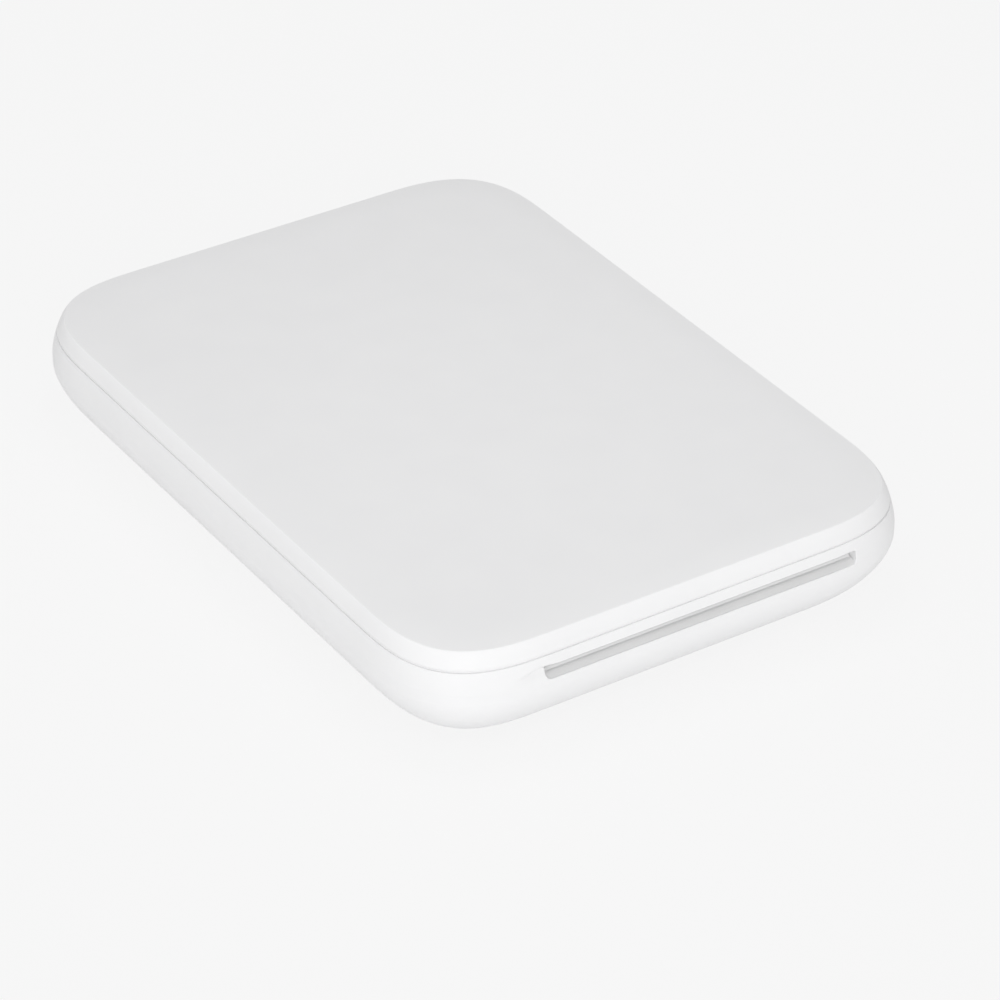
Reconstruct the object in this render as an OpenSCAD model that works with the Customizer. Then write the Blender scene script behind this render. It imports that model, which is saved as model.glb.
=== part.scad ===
// Compact photo printer for 50 x 76 mm zero-ink paper.
// +X is the printer's right, -Y its front with the paper slot, +Z is up.
// The origin lies under the middle of the body, on the surface that the feet stand on.

/* [Body] */
// Overall width
body_w = 84; // [82:0.5:92]
// Overall length
body_l = 117; // [115:0.5:130]
// Overall height, feet included
body_h = 19; // [19:0.1:22]
// Radius of the corners in plan
corner_r = 15.5; // [15.2:0.1:18]
// Wall of the lower case at its widest
wall = 2; // [1.8:0.1:2.2]
// Floor of the lower case
floor_t = 1.5; // [1.2:0.1:1.6]
// Depth of the cover down to the line between cover and case
cover_depth = 3.05; // [2.95:0.05:3.15]
// Gap along that line
parting_gap = 0.25; // [0.15:0.05:0.35]

/* [Rounded edges] */
// How far the top edge draws in
top_round_w = 2.74; // [2.4:0.02:3]
// Height over which the top edge draws in
top_round_h = 6.1; // [5.5:0.1:6.6]
// Fullness of the top edge, 2 is an ellipse
top_round_power = 1.77; // [1.6:0.01:2.2]
// How far the bottom edge draws in
bottom_round_w = 14.6; // [13.5:0.1:15]
// Height of the upright band between the rounded edges
band_h = 1.65; // [1:0.05:2]
// Fullness of the bottom edge
bottom_round_power = 1.64; // [1.6:0.01:2]
// How far the hollow's bottom edge draws in
hollow_round_w = 13; // [12:0.1:13.2]

/* [Feet] */
// Radius of a foot
foot_r = 4; // [3:0.1:5]
// Thickness of a foot
foot_t = 0.8; // [0.7:0.05:1.1]
// How far a foot stands out of the case
foot_proud = 0.3; // [0.2:0.05:0.4]
// Feet from the middle, sideways
foot_x = 20; // [16:0.5:22]
// Feet from the middle, lengthways
foot_y = 36; // [30:0.5:38]

/* [Cover] */
// Thickness of the cover's top
cover_t = 1.3; // [1.2:0.05:1.4]
// Inset of the cover's hollow from the widest outline
cover_rim = 2.2; // [2:0.05:2.3]
// Thickness of the liner's plate
liner_t = 0.5; // [0.4:0.05:0.6]
// Height of the liner's ribs
liner_rib_h = 0.45; // [0.3:0.05:0.5]
// Width of the liner's ribs
liner_rib_w = 1.2; // [0.8:0.1:2]

/* [Hinge] */
// Hinge axis in from the rear outline
hinge_inset = 1.5; // [1.4:0.05:1.6]
// Hinge axis above the line between cover and case
hinge_rise = 0.05; // [0:0.05:0.1]
// Radius of the hinge barrels
barrel_r = 1.2; // [1.1:0.05:1.25]
// Clearance round the hinge barrels
barrel_gap = 0.3; // [0.25:0.05:0.4]
// Length of the middle barrel
barrel_l = 40; // [30:1:44]
// Width of a hinge lug on the case
lug_w = 4; // [3:0.1:5]
// Outer barrels' ends in from the sides
barrel_inset = 9; // [8:0.5:11]
// Radius of a hinge pin
hinge_pin_r = 0.5; // [0.4:0.05:0.6]
// Length of a hinge pin
hinge_pin_l = 6.8; // [6:0.1:8]

/* [Paper slot] */
// Room on each side, from the body's outline to the paper
side_room = 17; // [16.5:0.1:18]
// Slot wider than the paper
slot_play = 3; // [2:0.1:4]
// Height of the slot
slot_h = 2.1; // [1.8:0.1:2.2]
// Top of the slot below the line between cover and case
slot_drop = 1.25; // [1.15:0.05:1.35]
// Middle of the slot from the middle of the body
slot_x = 1.5; // [0.5:0.1:2]
// Depth of the recess round the slot
recess_depth = 0.5; // [0.3:0.05:0.8]
// Length of the recess's left ramp
recess_ramp = 4.4; // [3:0.1:6]
// Margin of the recess above and below the slot
recess_margin = 0.15; // [0.1:0.05:0.25]
// Rise of the paper's path towards the slot, per mm
path_slope = 0.0857; // [0.08:0.001:0.09]

/* [Paper tray] */
// Paper bay wider than the paper
bay_play = 2.5; // [2:0.1:3]
// Thickness of the tray's walls
tray_wall = 1; // [0.8:0.05:1.1]
// Thickness of the tray's floor
tray_floor_t = 0.8; // [0.7:0.05:0.9]
// Thickness of the deck round the bay
deck_t = 1; // [0.8:0.05:1.2]
// Room behind the paper bay for the rear board
rear_room = 12.5; // [12.3:0.1:14]
// Gap between the lift plate and each side of the bay
lift_gap = 0.75; // [0.5:0.05:1.5]
// Thickness of the lift plate
lift_t = 1; // [0.8:0.05:1.1]
// Lift plate's pivot ahead of the bay's rear wall
lift_pivot_inset = 8; // [6:0.5:12]
// Radius of the lift plate's pivot pins
lift_pin_r = 0.8; // [0.6:0.05:0.9]
// Radius of a lift spring's coil
lift_spring_r = 2.5; // [2:0.1:3]
// Radius of a lift spring's wire
lift_wire_r = 0.25; // [0.2:0.01:0.28]
// Lift springs from the middle of the bay
lift_spring_x = 12; // [8:0.5:18]

/* [Rollers] */
// Platen's axis behind the front outline
platen_setback = 13; // [12.9:0.05:13.2]
// Radius of the platen's rubber
platen_r = 3.5; // [3.3:0.05:3.55]
// Gap between the platen's rubber and each side plate
platen_gap = 0.8; // [0.5:0.05:1.5]
// Radius of the platen's shaft
platen_shaft_r = 1.5; // [1.2:0.05:1.6]
// Pickup roller's axis behind the front outline
pickup_setback = 31.5; // [31.3:0.05:31.7]
// Radius of the pickup tyres
pickup_r = 2.6; // [2.5:0.02:2.7]
// Length of a pickup tyre
pickup_l = 12; // [8:0.5:14]
// Pickup tyres from the middle of the bay
pickup_x = 9; // [8:0.5:14]
// Radius of the pickup shaft
pickup_shaft_r = 1.25; // [1:0.05:1.3]
// Running clearance of shafts and pivots, on the radius
running = 0.06; // [0.04:0.01:0.08]
// Flange radius beyond a bush's bore
bush_flange = 1.1; // [0.9:0.05:1.2]
// Thickness of a bush's flange
bush_flange_t = 0.5; // [0.4:0.05:0.55]
// Wall of a bush
bush_wall = 0.6; // [0.5:0.05:0.8]

/* [Gears] */
// Gear module
gear_module = 0.4; // [0.395:0.001:0.405]
// Teeth on the motor pinion
pinion_teeth = 12; // [12]
// Teeth on the compound gear's large ring
large_teeth = 20; // [20]
// Teeth on the compound gear's small ring
small_teeth = 12; // [12]
// Teeth on the platen gear
platen_teeth = 15; // [15]
// Teeth on the idler gear
idler_teeth = 24; // [24]
// Teeth on the pickup gear
pickup_teeth = 12; // [12]
// Width of a gear
gear_w = 1.2; // [1:0.05:1.25]
// Side clearance between gears
gear_gap = 0.2; // [0.15:0.01:0.25]
// Radius of a gear stud
stud_r = 0.9; // [0.7:0.05:1]
// Thickness of a retaining clip
clip_t = 0.3; // [0.2:0.02:0.35]

/* [Mechanism frame] */
// Side plates' gap wider than the paper
plate_play = 3.6; // [3.4:0.05:4]
// Thickness of a side plate
plate_t = 0.8; // [0.6:0.05:0.9]
// Thickness of the top bridge
bridge_t = 0.5; // [0.4:0.05:0.55]
// Thickness of the hood
hood_t = 0.6; // [0.5:0.05:0.65]
// Thickness of the lower paper guide
guide_t = 0.8; // [0.6:0.05:0.9]
// Gap between the paper's path and its guides
guide_gap = 0.3; // [0.2:0.05:0.4]

/* [Print head] */
// Thickness of the ceramic head
head_t = 0.65; // [0.5:0.05:0.7]
// Gap between the ceramic head and each side plate
head_gap = 1.1; // [0.8:0.05:1.5]
// Depth of the ceramic head, front to rear
head_d = 8.7; // [7:0.1:9]
// Head ahead of the platen's axis
head_front = 1.7; // [1.5:0.05:1.9]
// Gap between head and platen
nip_gap = 0.16; // [0.12:0.01:0.2]
// Thickness of the heat sink
sink_t = 1.7; // [1.6:0.02:1.76]
// Gap between the heat sink and each side plate
sink_gap = 2.3; // [2:0.05:3]
// Depth of the heat sink, front to rear
sink_d = 11.7; // [11:0.1:12]
// Head's pivot behind the platen's axis
head_pivot_back = 7; // [6.8:0.05:7.5]
// Radius of a head pivot pin
head_pin_r = 0.5; // [0.4:0.02:0.55]
// Radius of a head spring's coil
head_spring_r = 1.5; // [1.2:0.05:1.8]
// Radius of a head spring's wire
head_wire_r = 0.2; // [0.15:0.01:0.22]
// Head springs from the middle of the bay
head_spring_x = 14; // [10:0.5:18]

/* [Motor] */
// Radius of the motor
motor_r = 4; // [3.9:0.02:4.05]
// Length of the motor
motor_l = 16.3; // [14:0.1:20]
// Motor's axis behind the front outline
motor_setback = 20.5; // [20.45:0.05:20.7]
// Motor's axis above its lowest place
motor_rise = 0.4; // [0.3:0.05:0.5]
// Radius of the motor shaft
motor_shaft_r = 0.75; // [0.6:0.05:0.8]
// Radius of a frame screw
frame_screw_r = 0.7; // [0.6:0.02:0.75]
// Radius of a frame screw's head
frame_head_r = 1.2; // [1:0.05:1.25]
// Height of a frame screw's head
frame_head_h = 0.6; // [0.5:0.02:0.65]

/* [Electronics] */
// Battery cell narrower than the paper
battery_side = 4; // [3:0.5:10]
// Battery cell's rear end in from the rear outline
battery_rear = 14.5; // [14:0.5:20]
// Thickness of the battery cell
battery_t = 3.6; // [3.4:0.05:3.8]
// Thickness of the pad under the battery
battery_pad_t = 0.2; // [0.15:0.05:0.3]
// Thickness of the circuit boards
board_t = 0.8; // [0.6:0.05:0.8]
// Length of the main board
main_board_l = 27; // [25:0.5:28]
// Main board wider than the paper
main_board_extra = 6; // [4:0.5:6.5]
// Rear board in from each side of the body
rear_board_inset = 16; // [16:0.5:18]
// Width of the charging socket
socket_w = 8.94; // [8.9:0.02:9]
// Height of the charging socket
socket_h = 3.2; // [3.1:0.05:3.3]
// Charging socket's middle below the line between cover and case
port_drop = 4.45; // [4.35:0.05:4.55]
// Depth of the charging socket
socket_d = 7.4; // [6.8:0.1:7.8]
// Width of the power button
button_w = 8; // [6:0.5:10]
// Height of the power button
button_h = 2.4; // [2:0.1:2.6]
// Power button from the middle, as a share of the body's width
button_share = -0.167; // [-0.19:0.001:-0.15]
// Power button's travel
button_travel = 0.3; // [0.2:0.05:0.35]
// Radius of the light pipe
light_r = 0.8; // [0.5:0.05:1]
// Light pipe from the middle, as a share of the body's width
light_share = 0.143; // [0.13:0.001:0.17]

/* [Screws] */
// Radius of a case screw
screw_r = 0.8; // [0.7:0.02:0.85]
// Radius of a case screw's head
screw_head_r = 1.5; // [1.3:0.05:1.6]
// Height of a case screw's head
screw_head_h = 0.6; // [0.5:0.05:0.65]
// Length of a case screw under its head
screw_l = 4.5; // [4:0.1:5]
// Length of a board screw under its head
board_screw_l = 3.2; // [2.6:0.1:3.4]
// Radius of the screw posts
post_r = 1.9; // [1.7:0.05:2]

/* [Hidden] */
$fn = 48;

// Colours of the materials
shell_white = [0.95, 0.95, 0.95];
inner_grey = [0.8, 0.8, 0.81];
dark_plastic = [0.16, 0.16, 0.17];
steel = [0.72, 0.73, 0.75];
rubber_black = [0.1, 0.1, 0.1];
gear_white = [0.9, 0.89, 0.84];
board_green = [0.05, 0.3, 0.2];
flex_amber = [0.75, 0.5, 0.15];
gold = [0.83, 0.68, 0.3];

eps = 0.01;
front_y = -body_l / 2;
rear_y = body_l / 2;

// Heights from the feet up
parting_z = body_h - cover_depth;
bottom_round_h = body_h - foot_proud - top_round_h - band_h;
hinge_z = parting_z + hinge_rise;
slot_top = parting_z - slot_drop;
slot_z = slot_top - slot_h;
floor_z = foot_proud + floor_t;
widest_z = foot_proud + bottom_round_h;
cover_z = body_h - cover_t;
deck_z = parting_z;
hood_z = cover_z - 0.3;
bridge_z = hood_z - hood_t - 0.2;
plate_top_z = bridge_z - bridge_t;
battery_z = floor_z + battery_pad_t;
tray_z = battery_z + battery_t + 0.6;
tray_floor_z = tray_z + tray_floor_t;
main_board_z = floor_z + 2;
main_board_top = main_board_z + board_t;
port_z = parting_z - port_drop;
rear_board_z = port_z - socket_h / 2 - board_t;
rear_board_top = rear_board_z + board_t;
plate_foot_z = 3;

// Widths from the paper out
paper_w = body_w - 2 * side_room;
slot_w = paper_w + slot_play;
bay_w = paper_w + bay_play;
lift_w = bay_w - 2 * lift_gap;
plate_gap = paper_w + plate_play;
platen_l = plate_gap - 2 * platen_gap;
head_w = plate_gap - 2 * head_gap;
sink_w = plate_gap - 2 * sink_gap;
battery_w = paper_w - battery_side;
main_board_w = paper_w + main_board_extra;
rear_board_w = body_w - 2 * rear_board_inset;
button_x = button_share * body_w;
light_x = light_share * body_w;
barrel_end = body_w / 2 - barrel_inset;

// Paper path and the places along it
tight = 0.02;
function path_z(y) = slot_z + slot_h / 2 - path_slope * (y - front_y);
platen_y = front_y + platen_setback;
pickup_y = front_y + pickup_setback;
platen_at = [platen_y, path_z(platen_y) - platen_r];
pickup_at = [pickup_y, path_z(pickup_y) + pickup_r];
motor_at = [front_y + motor_setback, floor_z + motor_r + motor_rise];
left_x = slot_x - plate_gap / 2;
right_x = slot_x + plate_gap / 2;
left_out_x = left_x - plate_t;
right_out_x = right_x + plate_t;
mechanism_rear = pickup_y + 4;
tray_front = mechanism_rear + 0.5;
bay_rear = rear_y - rear_room;
rear_board_front = bay_rear + tray_wall + 0.6;
rear_board_l = 7.8;
lift_pivot = [bay_rear - lift_pivot_inset, tray_floor_z + 1.2];
lift_front = pickup_y - 2.6;
lift_rise = pickup_at[1] - pickup_r - 0.2 - lift_pivot[1] - lift_t;
lift_tilt = atan(lift_rise / (lift_pivot[0] - pickup_y));
lift_spring_y = pickup_y + 9;
lift_spring_top = lift_pivot[1] + (lift_pivot[0] - lift_spring_y) * tan(lift_tilt) - 0.15;

// Gear centres and phases, as [y, z] and degrees
function pitch_r(teeth) = gear_module * teeth / 2;
function bearing(a, b) = atan2(b[1] - a[1], b[0] - a[0]);
// The point at distance ra from a and rb from b; side 1 lies left of the way from a to b, and -1 right
function meet(a, b, ra, rb, side) =
    let (d = norm(b - a), u = (b - a) / d, along = (ra * ra - rb * rb + d * d) / (2 * d),
         across = side * sqrt(ra * ra - along * along))
    a + along * u + across * [-u[1], u[0]];
// Phase of a gear that meshes with another at phase p
function mesh_phase(teeth, p, a, b, other) =
    bearing(a, b) + 180 + 180 / other - (p - bearing(a, b)) * teeth / other;
compound_at = meet(motor_at, platen_at, pitch_r(pinion_teeth + large_teeth),
                   pitch_r(small_teeth + platen_teeth), -1);
idler_at = meet(compound_at, pickup_at, pitch_r(small_teeth + idler_teeth),
                pitch_r(idler_teeth + pickup_teeth), -1);
platen_phase = 0;
small_phase = mesh_phase(platen_teeth, platen_phase, platen_at, compound_at, small_teeth);
large_phase = 0;
pinion_phase = mesh_phase(large_teeth, large_phase, compound_at, motor_at, pinion_teeth);
idler_phase = mesh_phase(small_teeth, small_phase, compound_at, idler_at, idler_teeth);
pickup_phase = mesh_phase(idler_teeth, idler_phase, idler_at, pickup_at, pickup_teeth);
inner_gears_x = left_out_x - frame_head_h - gear_gap;
outer_gears_x = inner_gears_x - gear_w - gear_gap;

// Print head, above the platen
head_z = platen_at[1] + platen_r + nip_gap;
head_y = platen_y - head_front;
sink_z = head_z + head_t;
head_pivot = [platen_y + head_pivot_back, sink_z + sink_t / 2];
head_spring_y = head_y + 2.2;
spring_seat_z = sink_z + 0.4;

// Screw places as [x, y]
deck_posts = [for (s = [-1, 1], y = [front_y + 62.5, rear_y - 14.5]) [s * (body_w / 2 - 8), y]];
hood_posts = [for (s = [-1, 1], y = [front_y + 12.5, front_y + 30.5]) [s * (body_w / 2 - 6), y]];
left_feet = [for (y = [front_y + 14, front_y + 32.5]) [left_out_x - 2.9, y]];
right_feet = [for (y = [front_y + 12.5, front_y + 25.5]) [right_x - 2.7, y]];
main_board_y = pickup_y - 2;
main_board_x = left_x + 1.3;
main_board_end = main_board_x + main_board_w;
main_board_screws = [
    [main_board_x + 2.5, main_board_y + 2.5],
    [main_board_end - 10.6, main_board_y + 2.5],
    [main_board_x + 2.5, main_board_y + main_board_l - 2.5],
    [main_board_end - 3.1, main_board_y + main_board_l - 2.5]
];
rear_board_screws = [for (x = [-1, 1]) [x * (rear_board_w / 2 - 4), rear_board_front + 3]];
battery_y = main_board_y + main_board_l + 4;
battery_x = slot_x - battery_w / 2 + 1.5;
battery_l = rear_y - battery_rear - battery_y;
magnet_r = 2;
magnet_t = 0.8;
magnet_x = body_w / 2 - 9;
magnet_y = front_y + 21.5;
bridge_tab_z = plate_top_z - 1.5;
bridge_front = platen_y - 4;
bridge_rear = bridge_front + 19;
bridge_screws = [for (y = [bridge_front + 1.5, bridge_rear - 1.5]) [y, plate_top_z - 0.7]];
motor_ears = [for (s = [-1, 1]) motor_at + [s * (motor_r + 1.2), -1]];
foot_places = [for (x = [-1, 1], y = [-1, 1]) [x * foot_x, y * foot_y]];

// Insets and heights along a quarter of a superellipse, from the flat face out to the full outline
function edge(w, h, power, steps) = [
    for (i = [0:steps])
        let (t = 90 * i / steps)
        [w * (1 - pow(sin(t), 2 / power)), h * (1 - pow(cos(t), 2 / power))]
];
function reversed(list) = [for (i = [len(list) - 1:-1:0]) list[i]];
outer_profile = concat(
    [for (p = edge(bottom_round_w, bottom_round_h, bottom_round_power, 9)) [p[0], foot_proud + p[1]]],
    [for (p = reversed(edge(top_round_w, top_round_h, top_round_power, 7))) [p[0], body_h - p[1]]]
);
hollow_profile = concat(
    [for (p = edge(hollow_round_w, widest_z - floor_z, bottom_round_power, 8)) [wall + p[0], floor_z + p[1]]],
    [[wall, body_h]]
);

// A solid of the body's plan, whose inset changes with height as the profile says
module slab(profile) {
    side_x = body_w / 2 - corner_r;
    side_y = body_l / 2 - corner_r;
    rotate([90, 0, 0])
        linear_extrude(2 * side_y, center = true)
            mirrored_outline(body_w / 2, profile);
    rotate([90, 0, 90])
        linear_extrude(2 * side_x, center = true)
            mirrored_outline(body_l / 2, profile);
    corners = [[1, 1, 0], [-1, 1, 90], [-1, -1, 180], [1, -1, 270]];
    for (c = corners)
        translate([c[0] * side_x, c[1] * side_y, 0])
            rotate([0, 0, c[2]])
                rotate_extrude(angle = 90)
                    half_outline(profile);
}

// The profile on both sides of an upright line
module mirrored_outline(half, profile) {
    polygon(concat(
        [for (p = profile) [half - p[0], p[1]]],
        [for (p = reversed(profile)) [p[0] - half, p[1]]]
    ));
}

// The profile on one side of a corner's centre
module half_outline(profile) {
    polygon(concat(
        [[0, profile[0][1]]],
        [for (p = profile) [corner_r - p[0], p[1]]],
        [[0, profile[len(profile) - 1][1]]]
    ));
}

// Everything of the body between two heights
module layer(low, high) {
    translate([-body_w, -body_l, low])
        cube([2 * body_w, 2 * body_l, high - low]);
}

// A cylinder along X, from x for a length
module rod_x(at, x, length, r) {
    translate([x, at[0], at[1]])
        rotate([0, 90, 0])
            cylinder(h = length, r = r);
}

// A cylinder along Y, from y for a length
module rod_y(x, y, z, length, r) {
    translate([x, y, z])
        rotate([-90, 0, 0])
            cylinder(h = length, r = r);
}

// A box from its lowest to its highest corner
module block(low, high) {
    translate(low)
        cube(high - low);
}

// An outline drawn as [y, z], extruded along X
module along_x(x, length) {
    translate([x, 0, 0])
        rotate([90, 0, 90])
            linear_extrude(length)
                children();
}

// A pill shape seen from the front, extruded along Y
module pill_y(x, y, z, w, h, length) {
    for (side = [-1, 1])
        rod_y(x + side * (w - h) / 2, y, z, length, h / 2);
    block([x - (w - h) / 2, y, z - h / 2], [x + (w - h) / 2, y + length, z + h / 2]);
}

// A strip of constant thickness along points [y, z]
module strip(points, t) {
    last = len(points) - 1;
    function way(i) = let (v = points[min(i + 1, last)] - points[min(i, last - 1)]) v / norm(v);
    function side(i) =
        let (a = way(max(i - 1, 0)), b = way(min(i, last - 1)), m = a + b)
        t / 2 * [-m[1], m[0]] / (1 + a * b);
    polygon(concat(
        [for (i = [0:last]) points[i] + side(i)],
        [for (i = [last:-1:0]) points[i] - side(i)]
    ));
}

// A coil spring's round wire as one unbroken tube
module coil(r, wire_r, height, turns) {
    rings = 12 * turns;
    sides = 6;
    points = [
        for (i = [0:rings], k = [0:sides - 1])
            let (a = 360 * turns * i / rings, b = 360 * k / sides,
                 z = wire_r + (height - 2 * wire_r) * i / rings, out = r + wire_r * cos(b))
            [out * cos(a), out * sin(a), z + wire_r * sin(b)]
    ];
    quads = [
        for (i = [0:rings - 1], k = [0:sides - 1])
            let (n = (k + 1) % sides)
            [i * sides + k, i * sides + n, (i + 1) * sides + n, (i + 1) * sides + k]
    ];
    first = [for (k = [1:sides - 2]) [0, k + 1, k]];
    last = [for (k = [1:sides - 2]) [rings * sides, rings * sides + k, rings * sides + k + 1]];
    polyhedron(
        points,
        concat([for (q = quads) [q[2], q[1], q[0]]], [for (q = quads) [q[3], q[2], q[0]]],
               [for (f = first) reversed(f)], [for (f = last) reversed(f)])
    );
}

// Angle in degrees that an involute unwinds by at a pressure angle
function unwound(a) = (tan(a) - a * PI / 180) * 180 / PI;

// A spur gear in plan, with involute flanks, a tooth centred on the phase angle
module gear_outline(teeth, phase) {
    r = pitch_r(teeth);
    pressure = 20;
    backlash = 0.08;
    base_r = r * cos(pressure);
    root_r = r - 1.25 * gear_module;
    tip_r = r + 0.9 * gear_module;
    flank_r = max(base_r, root_r);
    half_tooth = (PI * gear_module / 2 - backlash) / (2 * r) * 180 / PI;
    function half_angle(rho) =
        half_tooth + unwound(pressure) - unwound(acos(min(1, base_r / max(rho, base_r))));
    function at(rho, a) = rho * [cos(a), sin(a)];
    radii = [root_r, flank_r, (flank_r + tip_r) / 2, tip_r];
    polygon([
        for (i = [0:teeth - 1], s = [-1, 1], k = [0:3])
            let (rho = radii[s < 0 ? k : 3 - k])
            at(rho, phase + 360 * i / teeth + s * half_angle(rho))
    ]);
}

// A gear on an axis along X
module gear(at, x, teeth, phase, bore_r) {
    along_x(x, gear_w)
        translate(at)
            difference() {
                gear_outline(teeth, phase);
                circle(r = bore_r);
            }
}

// An open ring that snaps onto a shaft along X
module clip(at, x, r) {
    along_x(x, clip_t)
        translate(at)
            difference() {
                circle(r = r + 0.7);
                circle(r = r + tight);
                translate([0, -0.5 * r])
                    square([r + 1, r]);
            }
}

// A flanged bush in a side plate; out is 1 where the flange is on the right
module bush(at, x, out, r) {
    difference() {
        union() {
            rod_x(at, x, plate_t, r + running + bush_wall);
            rod_x(at, out > 0 ? x + plate_t : x - bush_flange_t, bush_flange_t, r + bush_flange);
        }
        rod_x(at, x - 1, plate_t + 2, r + running);
    }
}

// A case screw, its head standing on z
module case_screw(at, z) {
    translate([at[0], at[1], z]) {
        cylinder(h = screw_head_h, r = screw_head_r);
        translate([0, 0, -screw_l])
            cylinder(h = screw_l + eps, r = screw_r);
    }
}

// Case

module lower_case() color(shell_white) {
    difference() {
        union() {
            difference() {
                intersection() {
                    slab(outer_profile);
                    layer(0, parting_z);
                }
                case_hollow();
                hinge_trough();
            }
            hinge_lugs();
        }
        slot_opening();
        rear_openings();
        hinge_lug_bores();
        case_screw_holes();
        for (at = foot_places)
            translate([at[0], at[1], 0])
                cylinder(h = foot_t, r = foot_r + 0.1);
    }
}

// The room inside the case, round its posts
module case_hollow() {
    difference() {
        slab(hollow_profile);
        for (at = deck_posts)
            translate([at[0], at[1], 0])
                cylinder(h = deck_z - deck_t, r = post_r);
        for (at = hood_posts)
            translate([at[0], at[1], 0])
                cylinder(h = deck_z, r = post_r);
        for (at = concat(left_feet, right_feet))
            translate([at[0], at[1], 0])
                cylinder(h = plate_foot_z, r = post_r);
        for (at = main_board_screws)
            translate([at[0], at[1], 0])
                cylinder(h = main_board_z, r = post_r);
        for (at = rear_board_screws)
            translate([at[0], at[1], 0])
                cylinder(h = rear_board_z, r = post_r);
    }
}

module case_screw_holes() {
    hole_r = screw_r + tight;
    for (at = deck_posts)
        translate([at[0], at[1], deck_z - screw_l - 0.3])
            cylinder(h = screw_l, r = hole_r);
    for (at = hood_posts)
        translate([at[0], at[1], hood_z - screw_head_h - screw_l - 0.3])
            cylinder(h = screw_l, r = hole_r);
    for (at = concat(left_feet, right_feet))
        translate([at[0], at[1], plate_foot_z - 1.3])
            cylinder(h = 2, r = frame_screw_r + tight);
    for (at = main_board_screws)
        translate([at[0], at[1], main_board_top - board_screw_l - 0.2])
            cylinder(h = board_screw_l, r = hole_r);
    for (at = rear_board_screws)
        translate([at[0], at[1], rear_board_top - board_screw_l - 0.2])
            cylinder(h = board_screw_l, r = hole_r);
}

module slot_opening() {
    left = slot_x - slot_w / 2;
    right = slot_x + slot_w / 2;
    block([left, front_y - 1, slot_z], [right, front_y + wall + 1, slot_top]);
    translate([0, 0, slot_z - recess_margin])
        linear_extrude(slot_h + 2 * recess_margin)
            polygon([
                [left - recess_ramp, front_y - eps], [left, front_y + recess_depth],
                [right, front_y + recess_depth], [right + recess_ramp / 4, front_y - eps]
            ]);
}

module rear_openings() {
    deep = wall + 2;
    pill_y(0, rear_y - deep, port_z, socket_w + 0.4, socket_h + 0.4, deep + 1);
    pill_y(button_x, rear_y - deep, port_z, button_w + 0.3, button_h + 0.3, deep + 1);
    rod_y(light_x, rear_y - deep, port_z, deep + 1, light_r + 0.05);
}

hinge_at = [rear_y - hinge_inset, hinge_z];
lug_x = barrel_l / 2 + barrel_gap;

module hinge_trough() {
    rod_x(hinge_at, -barrel_end - 0.4, 2 * (barrel_end + 0.4), barrel_r + barrel_gap);
}

module hinge_lugs() {
    for (x = [lug_x, -lug_x - lug_w]) {
        rod_x(hinge_at, x, lug_w, barrel_r);
        block([x, rear_y - wall - 0.6, hinge_z - 2], [x + lug_w, hinge_at[0] + 0.9, hinge_z]);
    }
}

module hinge_lug_bores() {
    for (x = [lug_x - 1, -lug_x - lug_w - 1])
        rod_x(hinge_at, x, lug_w + 2, hinge_pin_r + tight);
}

module rubber_feet() color(rubber_black)
    for (at = foot_places)
        translate([at[0], at[1], 0])
            cylinder(h = foot_t, r = foot_r);

module case_screws() color(steel) {
    for (at = deck_posts)
        case_screw(at, deck_z);
    for (at = hood_posts)
        case_screw(at, hood_z - screw_head_h - 0.05);
}

module hinge_pins() color(steel)
    for (s = [-1, 1])
        rod_x(hinge_at, s > 0 ? lug_x + lug_w - hinge_pin_l : -lug_x - lug_w, hinge_pin_l, hinge_pin_r);

module case_magnets() color(steel)
    for (s = [-1, 1])
        translate([s * magnet_x, magnet_y, hood_z - hood_t - magnet_t])
            cylinder(h = magnet_t, r = magnet_r);

// Cover

module top_cover() color(shell_white) {
    difference() {
        intersection() {
            slab(outer_profile);
            union() {
                layer(parting_z + parting_gap, body_h + 1);
                cover_barrels(barrel_r);
            }
        }
        difference() {
            slab([[cover_rim, hinge_z - 3], [cover_rim, cover_z]]);
            cover_barrels(barrel_r);
        }
        for (s = [-1, 1]) {
            rod_x(hinge_at, s > 0 ? barrel_l / 2 : -lug_x - lug_w - barrel_gap,
                  lug_w + 2 * barrel_gap, barrel_r + barrel_gap);
            rod_x(hinge_at, s > 0 ? barrel_l / 2 - 3 : -barrel_l / 2 - 1, 4, hinge_pin_r + running);
            translate([s * magnet_x, magnet_y, cover_z - 1])
                cylinder(h = magnet_t + 1, r = magnet_r + 0.05);
        }
    }
}

// The rolled rear edge that turns in the case's trough, in three lengths
module cover_barrels(r) {
    rod_x(hinge_at, -barrel_end, 2 * barrel_end, r);
}

module cover_magnets() color(steel)
    for (s = [-1, 1])
        translate([s * magnet_x, magnet_y, cover_z])
            cylinder(h = magnet_t, r = magnet_r);

module cover_liner() color(inner_grey) {
    ribs = 5;
    left = slot_x - bay_w / 2 + 1.5;
    right = slot_x + bay_w / 2 - 1.5;
    low = tray_front + 1.5;
    high = bay_rear - 2;
    block([left, low, cover_z - liner_t], [right, high, cover_z]);
    for (i = [0:ribs - 1])
        let (x = left + (right - left - liner_rib_w) * i / (ribs - 1))
        block([x, low, cover_z - liner_t - liner_rib_h], [x + liner_rib_w, high, cover_z - liner_t + eps]);
}

// Paper tray

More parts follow.
